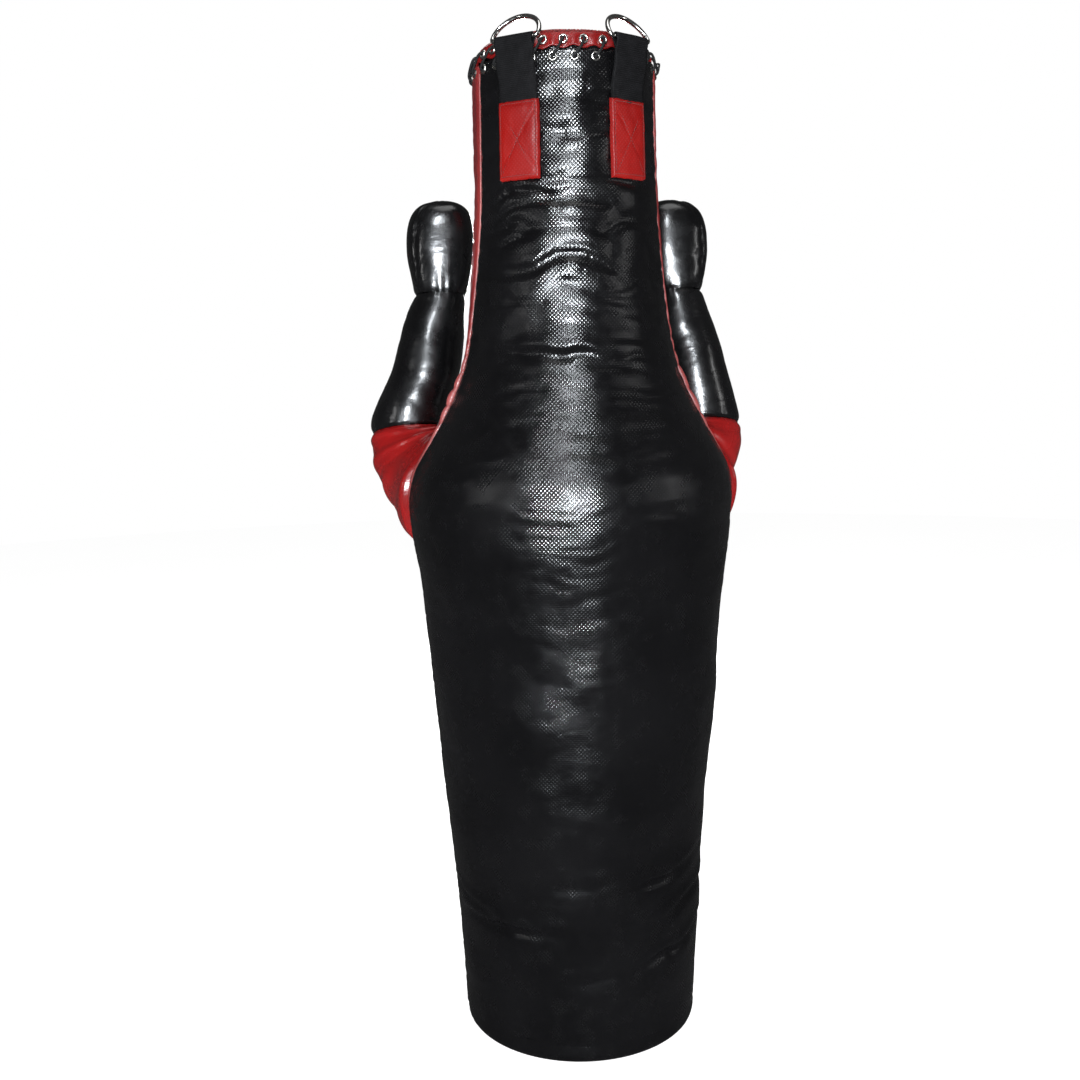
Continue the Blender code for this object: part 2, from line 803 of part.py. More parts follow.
def build_arm(side, label):
    """The three stuffed parts of one arm, with the torso pieces cut clear of the shoulder."""
    pivots = [mirrored(p, side) for p in (SHOULDER_PIVOT, ELBOW_PIVOT, WRIST_PIVOT)]
    axes = [mirrored(a, side) for a in (upper_axis, fore_axis, hand_axis)]
    hinges = [hinge_axis(a, side) for a in (lift_axis, elbow_axis, wrist_axis)]
    profiles = [
        arm_profile(SHOULDER_BALL, UPPER_STATIONS),
        arm_profile(ELBOW_BALL, FORE_STATIONS),
        arm_profile(WRIST_BALL, HAND_STATIONS),
    ]
    names = ("upper_arm", "forearm", "hand")
    looks = (glossy_red, glossy_black, glossy_black)
    flats = (1.0, 1.0, 0.84)
    limits = (SHOULDER_RANGE, ELBOW_RANGE, WRIST_RANGE)

    for i, name in enumerate(names):
        shape = (pivots[i], axes[i], ARM_SEGMENTS)
        fit = (flats[i], wrist_axis)
        sleeve = turned(f"{name}_{label}", profiles[i], *shape, looks[i], *fit)
        boolean(sleeve, turned("inside", thinner(profiles[i], SLEEVE), *shape, None, *fit))
        filling = thinner(profiles[i], SLEEVE + GAP)
        fill = turned(f"{name}_fill_{label}", filling, *shape, stuffing, *fit)
        if i < 2:
            following = (profiles[i + 1], pivots[i + 1], axes[i + 1], hinges[i + 1])
            cutters = swept(*following, limits[i + 1], flats[i + 1])
            cut_all(sleeve, cutters)
            cut_all(fill, cutters)
            drop(cutters)
        else:
            mouth = [(-0.060, 0.0), (-0.060, 0.016), (0.0, 0.016), (0.0, 0.0)]
            boolean(sleeve, turned("mouth", mouth, pivots[i], axes[i], 12))

    cutters = swept(profiles[0], pivots[0], axes[0], hinges[0], limits[0])
    for piece in (core_fill, gussets[side], front_panel, back_panel):
        cut_all(piece, cutters)
    drop(cutters)


def hinge_axis(axis, side):
    """A hinge axis for one side: the mirror of the right one, turning the mirrored way."""
    return axis.copy() if side > 0 else Vector((axis.x, -axis.y, -axis.z))


for side, label in ((1, "right"), (-1, "left")):
    build_arm(side, label)

for piece in bpy.data.objects:
    piece.data.shade_smooth()
    piece.data.set_sharp_from_angle(angle=math.radians(40))
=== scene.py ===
"""Looks of the grappling dummy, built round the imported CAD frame.

The frame: +Z up, base centre on the floor at the origin, the dummy's back towards -Y,
its arms towards +Y. All lengths are in metres, and angles in degrees from the middle of the back.
"""

import math

import bmesh
import bpy
import numpy as np
from mathutils import Matrix, Vector


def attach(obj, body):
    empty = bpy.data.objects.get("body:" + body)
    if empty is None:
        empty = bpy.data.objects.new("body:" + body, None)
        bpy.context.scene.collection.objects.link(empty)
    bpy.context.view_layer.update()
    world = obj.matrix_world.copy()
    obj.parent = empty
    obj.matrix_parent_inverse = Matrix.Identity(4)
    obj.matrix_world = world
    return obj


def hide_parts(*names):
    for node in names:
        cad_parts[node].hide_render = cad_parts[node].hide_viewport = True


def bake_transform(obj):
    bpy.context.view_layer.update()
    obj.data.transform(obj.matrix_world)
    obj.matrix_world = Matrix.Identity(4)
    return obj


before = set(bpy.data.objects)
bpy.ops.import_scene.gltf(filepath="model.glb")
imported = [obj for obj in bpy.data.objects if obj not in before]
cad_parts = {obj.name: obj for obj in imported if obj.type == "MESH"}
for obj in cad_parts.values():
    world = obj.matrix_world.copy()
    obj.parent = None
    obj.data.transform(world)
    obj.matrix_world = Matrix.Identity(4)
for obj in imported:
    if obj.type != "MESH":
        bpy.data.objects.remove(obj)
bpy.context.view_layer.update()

# ---------------------------------------------------------------- camera

CAMERA_DISTANCE = 1.92
CAMERA_HEIGHT = 1.046
CAMERA_TURN = 7.0
CAMERA_PITCH = 7.85
CAMERA_ROLL = -1.30
CAMERA_AIM = -1.50  # degrees that the view is turned away from the dummy's axis
LENS, SENSOR = 40.77, 36.0  # millimetres


def place_camera():
    data = bpy.data.cameras.new("camera")
    data.lens, data.sensor_width = LENS, SENSOR
    camera = bpy.data.objects.new("camera", data)
    turn = math.radians(CAMERA_TURN)
    camera.location = (
        -CAMERA_DISTANCE * math.sin(turn), -CAMERA_DISTANCE * math.cos(turn), CAMERA_HEIGHT
    )
    aim = math.radians(CAMERA_TURN + CAMERA_AIM)
    pitch = math.radians(CAMERA_PITCH)
    level = math.cos(pitch)
    ahead = Vector((math.sin(aim) * level, math.cos(aim) * level, -math.sin(pitch)))
    turned = ahead.to_track_quat("-Z", "Y").to_matrix().to_4x4()
    roll = Matrix.Rotation(math.radians(CAMERA_ROLL), 4, "Z")
    camera.matrix_world = Matrix.Translation(camera.location) @ turned @ roll
    bpy.context.scene.collection.objects.link(camera)
    bpy.context.scene.camera = camera


place_camera()

# ---------------------------------------------------------------- shape of the torso

RIM_HEIGHT = 1.4885
GUSSET_FOOT = 0.760
SHOULDER_HEIGHT, NECK_FOOT = 0.868, 1.12
FLATTENING = 0.07  # how much shallower than wide the shoulders are
# heights and half widths
TORSO_STATIONS = [
    (0.030, 0.1865),
    (0.200, 0.1950),
    (0.370, 0.2095),
    (0.550, 0.2240),
    (0.740, 0.2395),
    (0.815, 0.2520),
    (0.868, 0.2545),
    (0.970, 0.2040),
    (1.065, 0.1630),
    (1.130, 0.1535),
    (1.300, 0.1400),
    (1.492, 0.1365),
]
# heights and angles of the seams between the panels
BACK_SEAM = [
    (0.760, 90.0),
    (0.830, 88.0),
    (0.900, 84.0),
    (0.970, 79.5),
    (1.065, 78.0),
    (1.190, 73.5),
    (1.300, 70.7),
    (1.492, 70.7),
]
FRONT_SEAM = [
    (0.760, 91.0),
    (0.785, 130.0),
    (0.830, 143.0),
    (0.900, 146.0),
    (1.000, 128.0),
    (1.100, 108.0),
    (1.300, 109.3),
    (1.492, 109.3),
]
BASE_EDGE = 0.012  # radius of the rounded edge under the base
HEM = TORSO_STATIONS[0]


def curve_through(stations):
    """A smooth curve that never overshoots, as a function of an array of first coordinates."""
    x, y = (np.array(c, float) for c in zip(*stations))
    step, slope = np.diff(x), np.diff(y) / np.diff(x)
    grade = np.zeros(len(x))
    for i in range(1, len(x) - 1):
        if slope[i - 1] * slope[i] > 0:
            a, b = 2 * step[i] + step[i - 1], step[i] + 2 * step[i - 1]
            grade[i] = (a + b) / (a / slope[i - 1] + b / slope[i])
    grade[0], grade[-1] = slope[0], slope[-1]

    def value(at):
        at = np.asarray(at, float)
        i = np.clip(np.searchsorted(x, at) - 1, 0, len(step) - 1)
        t = np.clip((at - x[i]) / step[i], 0, 1)
        return (
            (1 + 2 * t) * (1 - t) ** 2 * y[i]
            + t * (1 - t) ** 2 * step[i] * grade[i]
            + t * t * (3 - 2 * t) * y[i + 1]
            - t * t * (1 - t) * step[i] * grade[i + 1]
        )

    return value


def ease(low, high, at):
    """0 below low, 1 above high, and a smooth step between."""
    t = np.clip((np.asarray(at, float) - low) / (high - low), 0, 1)
    return t * t * (3 - 2 * t)


sewn_width = curve_through(TORSO_STATIONS)


def half_width(height):
    """The torso's half width, its corners eased as filled cloth eases them."""
    return sum(sewn_width(height + step) for step in (-0.028, -0.014, 0.0, 0.014, 0.028)) / 5


back_seam = curve_through(BACK_SEAM)
front_seam = curve_through(FRONT_SEAM)


def torso_surface(angle, height, rise=0.0):
    """Points of the torso's surface, moved outwards by rise."""
    angle, height = np.broadcast_arrays(np.asarray(angle, float), np.asarray(height, float))
    flat = FLATTENING * ease(0, SHOULDER_HEIGHT, height) * (1 - ease(SHOULDER_HEIGHT, NECK_FOOT, height))
    wide = half_width(height)
    turn = np.radians(angle)
    return np.stack(
        [(wide + rise) * np.sin(turn), -(wide * (1 - flat) + rise) * np.cos(turn), height + 0 * turn],
        -1,
    )


def around(radius, angle, height):
    """Points round the axis, with angles from the middle of the back."""
    turn = np.radians(np.asarray(angle, float))
    return np.stack(
        np.broadcast_arrays(radius * np.sin(turn), -radius * np.cos(turn), np.asarray(height, float)), -1
    )


# ---------------------------------------------------------------- noise and mesh helpers

LATTICE = np.random.default_rng(11).uniform(-1, 1, (256, 256))


def waves(u, v, shift=0):
    """Smooth noise between -1 and 1. One unit of u or v is one cell."""
    u, v = np.broadcast_arrays(np.asarray(u, float) + 37.7 * shift, np.asarray(v, float) + 17.3 * shift)
    i, j = np.floor(u).astype(int), np.floor(v).astype(int)
    a, b = u - i, v - j
    a, b = a * a * a * (a * (a * 6 - 15) + 10), b * b * b * (b * (b * 6 - 15) + 10)

    def corner(di, dj):
        return LATTICE[(i + di) % 256, (j + dj) % 256]

    low = corner(0, 0) * (1 - a) + corner(1, 0) * a
    high = corner(0, 1) * (1 - a) + corner(1, 1) * a
    return low * (1 - b) + high * b


def folds(u, v, shift=0):
    """Noise with sharp valleys and round crests, between -1 and 0."""
    return -((1 - np.sqrt(waves(u, v, shift) ** 2 + 0.012)) ** 3)


def unit(v):
    """v, made one long."""
    return v / np.maximum(np.linalg.norm(v, axis=-1, keepdims=True), 1e-12)


def run_along(points):
    """The distance from the first point to each, along the line through them."""
    return np.concatenate([[0], np.cumsum(np.linalg.norm(np.diff(points, axis=0), axis=1))])


def bell(away, width=1.0):
    """1 at zero, falling smoothly to almost nothing at twice the width."""
    return np.exp(-((away / width) ** 2))


def grid_normals(points, wrap=False):
    """Outward normals of a grid of points."""
    if wrap:
        across = np.roll(points, -1, 1) - np.roll(points, 1, 1)
    else:
        across = np.gradient(points, axis=1)
    return unit(np.cross(across, np.gradient(points, axis=0)))


def new_mesh(name, points, faces, look=None, uv=None):
    mesh = bpy.data.meshes.new(name)
    mesh.from_pydata([tuple(p) for p in points], [], faces)
    if uv is not None:
        layer = mesh.uv_layers.new(name="cloth")
        layer.data.foreach_set("uv", np.asarray(uv, np.float32).ravel())
    made = bpy.data.objects.new(name, mesh)
    bpy.context.scene.collection.objects.link(made)
    if look is not None:
        mesh.materials.append(look)
    mesh.shade_smooth()
    return made


def lay_grid(name, points, uv, look, wrap=False, flip=False, back=None, cap=False):
    """A sheet over a grid of points. back is a second grid that closes it into a solid."""
    rows, cols = points.shape[:2]
    index = np.arange(rows * cols).reshape(rows, cols)
    left = index if wrap else index[:, :-1]
    right = np.roll(index, -1, 1) if wrap else index[:, 1:]
    quads = np.stack([left[:-1], right[:-1], right[1:], left[1:]], -1).reshape(-1, 4)
    ruler = np.stack([uv[:-1, :-1], uv[:-1, 1:], uv[1:, 1:], uv[1:, :-1]], 2).reshape(-1, 4, 2)
    if flip:
        quads, ruler = quads[:, ::-1], ruler[:, ::-1]
    faces, corners, all_points = quads.tolist(), list(ruler.reshape(-1, 2)), points.reshape(-1, 3)
    if back is not None:
        start = rows * cols
        faces += [[start + v for v in reversed(q)] for q in quads.tolist()]
        corners += list(ruler[:, ::-1].reshape(-1, 2))
        border = list(index[0]) + list(index[1:, -1]) + list(index[-1, -2::-1]) + list(index[-2:0:-1, 0])
        for a, b in zip(border, border[1:] + border[:1]):
            edge = [b, a, start + a, start + b]
            faces.append(edge[::-1] if flip else edge)
            corners += [uv[divmod(int(v % start), cols)] for v in faces[-1]]
        all_points = np.concatenate([all_points, back.reshape(-1, 3)])
    if cap:
        ring = list(index[-1])
        faces.append(ring[::-1] if flip else ring)
        corners += [uv[-1, 0]] * len(ring)
    return new_mesh(name, all_points, faces, look, np.array(corners))


def measured_uv(points, wrap=False):
    """UVs in metres along a grid's middle row and column."""
    if wrap:
        points = np.concatenate([points, points[:, :1]], 1)
    across = np.linalg.norm(np.diff(points, axis=1), axis=2)
    u = np.concatenate([np.zeros((len(points), 1)), np.cumsum(across, 1)], 1)
    u -= u[:, u.shape[1] // 2][:, None]
    v = run_along(points[:, points.shape[1] // 2])
    return np.stack([u, np.broadcast_to(v[:, None], u.shape)], -1)


def tube(name, path, radius, sides, look, closed=False):
    """A round cord along points. radius may be one number or one for each point."""
    path = np.asarray(path, float)
    count = len(path)
    radius = np.broadcast_to(np.asarray(radius, float), (count,))
    if closed:
        along = unit(np.roll(path, -1, 0) - np.roll(path, 1, 0))
    else:
        along = unit(np.gradient(path, axis=0))
    first = np.cross(along[0], (0.31, 0.17, 0.93))  # any way that isn't the cord's own
    normal, frames = first / np.linalg.norm(first), []
    for t in along:
        normal = normal - t * normal.dot(t)
        normal /= np.linalg.norm(normal)
        frames.append((normal.copy(), np.cross(t, normal)))
    twist = 0.0
    if closed:
        last = frames[-1][0] - along[0] * frames[-1][0].dot(along[0])
        twist = math.atan2(np.cross(last, frames[0][0]).dot(along[0]), last.dot(frames[0][0]))
    turn = np.linspace(0, math.tau, sides, endpoint=False)
    rings = []
    for i, (p, r, (n, b)) in enumerate(zip(path, radius, frames)):
        spoke = turn + twist * i / count
        rings.append(p + r * (np.outer(np.cos(spoke), n) + np.outer(np.sin(spoke), b)))
    rings = np.array(rings)
    points = rings.reshape(-1, 3)
    index = np.arange(count * sides).reshape(count, sides)
    follow = np.roll(index, -1, 0) if closed else index[1:]
    here = index if closed else index[:-1]
    faces = np.stack([here, np.roll(here, -1, 1), np.roll(follow, -1, 1), follow], -1).reshape(-1, 4)
    run = run_along(path)
    v0 = np.repeat(run[: len(here)], sides)
    steps = np.linalg.norm(rings[:, 0] - np.roll(rings, -1, 0)[:, 0], axis=1)
    v1 = v0 + np.repeat(steps[: len(here)], sides)
    u0 = np.tile(np.arange(sides) / sides, len(here)) * math.tau * radius.mean()
    u1 = u0 + math.tau * radius.mean() / sides
    uv = np.stack([np.stack(corner, -1) for corner in ((u0, v0), (u1, v0), (u1, v1), (u0, v1))], 1)
    faces, uv = faces.tolist(), list(uv.reshape(-1, 2))
    if not closed:
        faces += [list(index[0][::-1]), list(index[-1])]
        uv += [(0.0, 0.0)] * (2 * sides)
    return new_mesh(name, points, faces, look, np.array(uv))


def joined(name, pieces):
    """One object from several, keeping UVs and materials."""
    first = pieces[0]
    with bpy.context.temp_override(
        active_object=first, object=first, selected_editable_objects=pieces, selected_objects=pieces
    ):
        bpy.ops.object.join()
    first.name = first.data.name = name
    return first


def smooth_path(points, steps, closed=False):
    """Catmull-Rom points through a list of points."""
    p = np.asarray(points, float)
    n = len(p)
    found = []
    for i in range(n if closed else n - 1):
        if closed:
            a, b, c, d = p[i - 1], p[i], p[(i + 1) % n], p[(i + 2) % n]
        else:
            b, c = p[i], p[i + 1]
            a = p[i - 1] if i else 2 * b - c
            d = p[i + 2] if i + 2 < n else 2 * c - b
        for k in range(steps):
            t = k / steps
            square, cube = 2 * a - 5 * b + 4 * c - d, 3 * b - a - 3 * c + d
            found.append(0.5 * (2 * b + (c - a) * t + square * t * t + cube * t**3))
    if not closed:
        found.append(p[-1])
    return np.array(found)


# a stitch's thread: how far along, its share of the full radius, and its height in radii
STITCH_RINGS = [(-0.08, 0.5, -0.9), (0.12, 0.95, 0.25), (0.5, 1.0, 0.55)]
STITCH_RINGS += [(0.88, 0.95, 0.25), (1.08, 0.5, -0.9)]
STITCH_SIDES = 6


def stitches(name, points, normals, look, pitch=0.0052, length=0.0036, radius=0.00055):
    """Short threads along a line on a surface, each end sunk into it."""
    points, normals = np.asarray(points, float), unit(np.asarray(normals, float))
    run = run_along(points)

    def at(line, place):
        return np.array([np.interp(place, run, line[:, k]) for k in range(3)])

    verts, faces, uv = [], [], []
    for s in np.arange(pitch / 2, run[-1], pitch):
        ends = at(points, s - length / 2), at(points, s + length / 2)
        n = unit(at(normals, s))
        t = unit(ends[1] - ends[0])
        b = np.cross(t, n)
        start = len(verts)
        for f, r, h in STITCH_RINGS:
            c = ends[0] + (ends[1] - ends[0]) * f + n * (h * radius)
            for k in range(STITCH_SIDES):
                a = math.tau * k / STITCH_SIDES
                verts.append(c + radius * r * (math.cos(a) * n + math.sin(a) * b))
        for i in range(len(STITCH_RINGS) - 1):
            for k in range(STITCH_SIDES):
                a, c = start + STITCH_SIDES * i + k, start + STITCH_SIDES * i + (k + 1) % STITCH_SIDES
                faces.append([a, c, c + STITCH_SIDES, a + STITCH_SIDES])
                uv += [(k / STITCH_SIDES * 0.003, i * 0.001)] * 4
        last = len(verts) - STITCH_SIDES
        faces += [[start + k for k in reversed(range(STITCH_SIDES))], [last + k for k in range(STITCH_SIDES)]]
        uv += [(0, 0)] * (2 * STITCH_SIDES)
    return new_mesh(name, verts, faces, look, np.array(uv))


# ---------------------------------------------------------------- materials

NOISE_SPAN = (0.35, 0.65)  # where most of a noise texture's values lie


class Look:
    """A principled material and a few nodes that feed it."""

    def __init__(
        self, name, roughness=0.4, metallic=0.0, specular=0.5, coat=0.0, coat_roughness=0.1, sheen=0.0
    ):
        self.made = bpy.data.materials.new(name)
        self.made.use_nodes = True
        self.tree = self.made.node_tree
        self.shader = self.tree.nodes["Principled BSDF"]
        for socket, value in (
            ("Roughness", roughness),
            ("Metallic", metallic),
            ("Specular IOR Level", specular),
            ("Coat Weight", coat),
            ("Coat Roughness", coat_roughness),
            ("Sheen Weight", sheen),
        ):
            self.shader.inputs[socket].default_value = value
        self.place = self.tree.nodes.new("ShaderNodeTexCoord")
        self.height = None

    def add(self, kind, **inputs):
        node = self.tree.nodes.new(kind)
        for key, value in inputs.items():
            if key in node.inputs.keys():
                socket = node.inputs[key]
                if isinstance(value, bpy.types.NodeSocket):
                    self.tree.links.new(value, socket)
                else:
                    socket.default_value = value
            else:
                setattr(node, key, value)
        return node

    def noise(self, scale, detail=3.0, stretch=(1, 1, 1), distortion=0.0):
        moved = self.add("ShaderNodeMapping", Vector=self.place.outputs["Object"], Scale=stretch)
        return self.add(
            "ShaderNodeTexNoise", Vector=moved.outputs[0], Scale=scale, Detail=detail, Distortion=distortion
        ).outputs["Fac"]

    def ramp(self, factor, low, high):
        """Spreads a noise's usual span over low to high."""
        ranged = self.add("ShaderNodeMapRange", Value=factor)
        ranged.inputs["From Min"].default_value = NOISE_SPAN[0]
        ranged.inputs["From Max"].default_value = NOISE_SPAN[1]
        ranged.inputs["To Min"].default_value = low
        ranged.inputs["To Max"].default_value = high
        return ranged.outputs[0]

    def colours(self, factor, stops):
        node = self.add("ShaderNodeValToRGB", Fac=factor)
        while len(node.color_ramp.elements) < len(stops):
            node.color_ramp.elements.new(0.5)
        for element, (at, colour) in zip(node.color_ramp.elements, stops):
            element.position, element.color = at, (*colour, 1)
        self.tree.links.new(node.outputs[0], self.shader.inputs["Base Color"])

    def roughen(self, factor, low, high):
        self.tree.links.new(self.ramp(factor, low, high), self.shader.inputs["Roughness"])

    def bump(self, height, distance, strength=1.0):
        node = self.add("ShaderNodeBump", Height=height, Distance=distance, Strength=strength)
        if self.height is not None:
            self.tree.links.new(self.height, node.inputs["Normal"])
        self.height = node.outputs[0]
        self.tree.links.new(self.height, self.shader.inputs["Normal"])

    def threads(self, across, along, turn):
        """Two crossing sets of threads, from their spacing in metres, laid in the cloth's own UVs."""
        moved = self.add("ShaderNodeMapping", Vector=self.place.outputs["UV"])
        moved.inputs["Rotation"].default_value = (0, 0, math.radians(turn))
        bands = [
            self.add(
                "ShaderNodeTexWave",
                Vector=moved.outputs[0],
                Scale=math.tau / 20 / spacing,
                bands_direction=direction,
                wave_profile="SIN",
            ).outputs["Fac"]
            for direction, spacing in (("X", across), ("Y", along))
        ]
        return self.product(bands[0], bands[1])

    def product(self, a, b, operation="MULTIPLY"):
        node = self.add("ShaderNodeMath", operation=operation)
        self.tree.links.new(a, node.inputs[0])
        if isinstance(b, bpy.types.NodeSocket):
            self.tree.links.new(b, node.inputs[1])
        else:
            node.inputs[1].default_value = b
        return node.outputs[0]


WEAVE = 0.0042  # spacing of the canvas threads that show


def canvas(name, dark, light, rough=(0.20, 0.30), specular=0.5, relief=0.00026):
    """Coated canvas: its weave shows faintly through a satin skin."""
    look = Look(name, specular=specular)
    cloth = look.threads(WEAVE, WEAVE, 45.0)
    look.colours(look.noise(6.0, 4.0), [(0.35, dark), (0.65, light)])
    glint = look.ramp(cloth, 0.7 * specular, 1.6 * specular)
    look.tree.links.new(glint, look.shader.inputs["Specular IOR Level"])
    worn = look.ramp(look.noise(38.0, 5.0), *rough)
    dulled = look.product(look.product(cloth, -0.10), worn, "ADD")
    look.tree.links.new(dulled, look.shader.inputs["Roughness"])
    look.bump(look.noise(90.0, 4.0, stretch=(0.6, 0.6, 1.6)), 0.0005, 0.5)
    look.bump(cloth, relief, 1.0)
    return look.made


def leather(name, dark, light, rough=(0.20, 0.31), coat=0.25, grain=0.00022):
    """Glossy coated leather with a fine grain and small dents."""
    look = Look(name, specular=0.5, coat=coat, coat_roughness=0.14)
    look.colours(look.noise(9.0, 5.0), [(0.3, dark), (0.7, light)])
    look.roughen(look.noise(24.0, 5.0), *rough)
    look.bump(look.noise(28.0, 4.0, stretch=(1, 1, 2.2), distortion=0.6), 0.0016, 0.55)
    look.bump(look.noise(420.0, 3.0), grain, 0.6)
    return look.made


def webbing(name):
    """Ribbed black webbing."""
    look = Look(name, roughness=0.8, specular=0.08)
    ribs = look.threads(0.0021, 0.0026, 0.0)
    faded = look.product(ribs, look.noise(60.0), "ADD")
    look.colours(faded, [(0.35, (0.003, 0.003, 0.0035)), (1.0, (0.013, 0.013, 0.015))])
    look.roughen(look.noise(90.0), 0.62, 0.85)
    look.bump(look.noise(700.0, 2.0), 0.0001, 0.6)
    look.bump(ribs, 0.0006, 0.9)
    return look.made


def metal(name, colour, rough):
    """Plated metal, a little stained."""
    look = Look(name, metallic=1.0)
    look.colours(look.noise(70.0, 4.0), [(0.3, tuple(c * 0.82 for c in colour)), (0.7, colour)])
    look.roughen(look.noise(160.0, 4.0, stretch=(1, 1, 4)), *rough)
    look.bump(look.noise(500.0, 3.0), 0.00004, 0.5)
    return look.made


def thread(name, dark, light):
    """Sewing thread."""
    look = Look(name, roughness=0.6, sheen=0.2)
    look.colours(look.noise(300.0), [(0.3, dark), (0.7, light)])
    look.bump(look.noise(1400.0, 2.0), 0.0001, 0.8)
    return look.made


def braid(name):
    """Braided black cord."""
    look = Look(name, roughness=0.7, specular=0.3)
    strands = look.threads(0.0011, 0.0011, 45.0)
    look.colours(strands, [(0.2, (0.003, 0.003, 0.0035)), (0.9, (0.011, 0.011, 0.012))])
    look.roughen(look.noise(120.0), 0.55, 0.8)
    look.bump(strands, 0.0004, 0.9)
    return look.made


BLACKS = (0.0036, 0.0036, 0.0043), (0.0066, 0.0066, 0.0076)
FINE = 0.00006  # relief of a weave that hardly shows
back_canvas = canvas("back_canvas", *BLACKS)
front_canvas = canvas("front_canvas", *BLACKS)
base_vinyl = canvas("base_vinyl", *BLACKS, (0.20, 0.28))
gusset_vinyl = canvas("gusset_vinyl", (0.24, 0.018, 0.020), (0.33, 0.034, 0.035), (0.36, 0.48), relief=FINE)
# the welt's red is painted lighter and pinker than the gusset's: painted glare along the seam ridge, over
# piping of red vinyl
welt_painted_glare = canvas("welt_painted_glare", (0.34, 0.045, 0.045), (0.52, 0.120, 0.115), (0.40, 0.55), relief=FINE)
lid_vinyl = canvas("lid_vinyl", (0.27, 0.007, 0.007), (0.38, 0.012, 0.012), (0.34, 0.46), 0.35, FINE)
patch_vinyl = canvas("patch_vinyl", (0.30, 0.005, 0.004), (0.42, 0.010, 0.007), (0.42, 0.55), 0.25, FINE)
red_leather = leather("red_leather", (0.30, 0.006, 0.007), (0.42, 0.012, 0.012))
black_leather = leather("black_leather", (0.0032, 0.0032, 0.0038), (0.0062, 0.0062, 0.0070))
strap_webbing = webbing("strap_webbing")
lace_braid = braid("lace_braid")
nickel = metal("nickel", (0.62, 0.60, 0.56), (0.16, 0.34))
steel = metal("welded_steel", (0.74, 0.73, 0.70), (0.10, 0.22))
red_thread = thread("red_thread", (0.33, 0.030, 0.030), (0.55, 0.09, 0.08))
patch_thread = thread("patch_thread", (0.12, 0.008, 0.008), (0.22, 0.016, 0.014))

# ---------------------------------------------------------------- cloth


def settle(points, held, slack, pressure, frames, cap):
    """Lets a tube of cloth swell and wrinkle, and returns where its points end.

    held is how firmly each point is kept, slack is each point's place in the looser cut of the cloth,
    and cap limits how far a point may move.
    """
    rows, cols = points.shape[:2]
    tube_cloth = lay_grid("settling", points, np.zeros((rows, cols + 1, 2)), None, wrap=True, cap=True)
    tube_cloth.shape_key_add(name="Basis")
    loose = tube_cloth.shape_key_add(name="loose")
    loose.data.foreach_set("co", np.ascontiguousarray(slack, np.float32).ravel())
    loose.value = 0.0
    group = tube_cloth.vertex_groups.new(name="held")
    flat = np.broadcast_to(held, (rows, cols)).ravel()
    rounded = np.round(flat, 2)
    for level in np.unique(rounded):
        group.add(np.flatnonzero(np.abs(rounded - level) < 1e-6).tolist(), float(level), "REPLACE")
    cloth = tube_cloth.modifiers.new("cloth", "CLOTH")
    cloth.settings.effector_weights.gravity = 0
    for setting, value in (
        ("quality", 4),
        ("mass", 0.25),
        ("tension_stiffness", 18),
        ("compression_stiffness", 18),
        ("shear_stiffness", 6),
        ("bending_stiffness", 0.35),
        ("air_damping", 2.0),
        ("use_pressure", True),
        ("uniform_pressure_force", pressure),
        ("vertex_group_mass", "held"),
        ("pin_stiffness", 1.0),
        ("rest_shape_key", loose),
    ):
        setattr(cloth.settings, setting, value)
    cloth.collision_settings.use_collision = False
    scene = bpy.context.scene
    for frame_number in range(1, frames + 1):
        scene.frame_set(frame_number)
    shape = tube_cloth.evaluated_get(bpy.context.evaluated_depsgraph_get()).to_mesh()
    found = np.empty(len(shape.vertices) * 3, np.float32)
    shape.vertices.foreach_get("co", found)
    bpy.data.objects.remove(tube_cloth, do_unlink=True)
    scene.frame_set(1)
    step = found.reshape(rows, cols, 3).astype(float) - points
    far = np.linalg.norm(step, axis=2, keepdims=True)
    return points + step / np.maximum(far, 1e-9) * cap * np.tanh(far / cap)


def cubic(t):
    """The four weights of a smooth interpolation."""
    return np.stack(
        [
            -0.5 * t + t * t - 0.5 * t**3,
            1 - 2.5 * t * t + 1.5 * t**3,
            0.5 * t + 2 * t * t - 1.5 * t**3,
            -0.5 * t * t + 0.5 * t**3,
        ],
        -1,
    )


SWELL_STEP, SWELL_TURNS = 0.0068, 160
EXTRA_LENGTH = 1.035  # how much longer than the bag its cloth is cut


def swollen_torso():
    """How far the simulated torso cloth stands off its even shape, on a grid of height and angle."""
    z = np.arange(HEM[0], RIM_HEIGHT + SWELL_STEP / 2, SWELL_STEP)[:, None]
    angle = np.linspace(0, 360, SWELL_TURNS, endpoint=False)[None, :]
    even = torso_surface(angle, z + 0 * angle, -0.0015)
    normals = grid_normals(even, wrap=True)
    signed = np.where(angle > 270, angle - 360, angle)
    seams = [np.abs((angle + side * back_seam(z) + 180) % 360 - 180) for side in (-1, 1)]
    nearest = np.minimum(*seams)
    begun = 0.8 * torso_folds(signed, z + 0 * angle, 1) * (1 - np.exp(-nearest / 8.0))
    start = even + normals * begun[..., None]
    held = 0.04 + 0.5 * bell(nearest, 3.0) + ease(1.462, 1.478, z) + 1 - ease(0.035, 0.055, z)
    slack = start * [1.0, 1.0, EXTRA_LENGTH]
    moved = settle(start, np.clip(held, 0, 1), slack, pressure=2.5, frames=12, cap=0.0055)
    return ((moved - even) * normals).sum(-1)


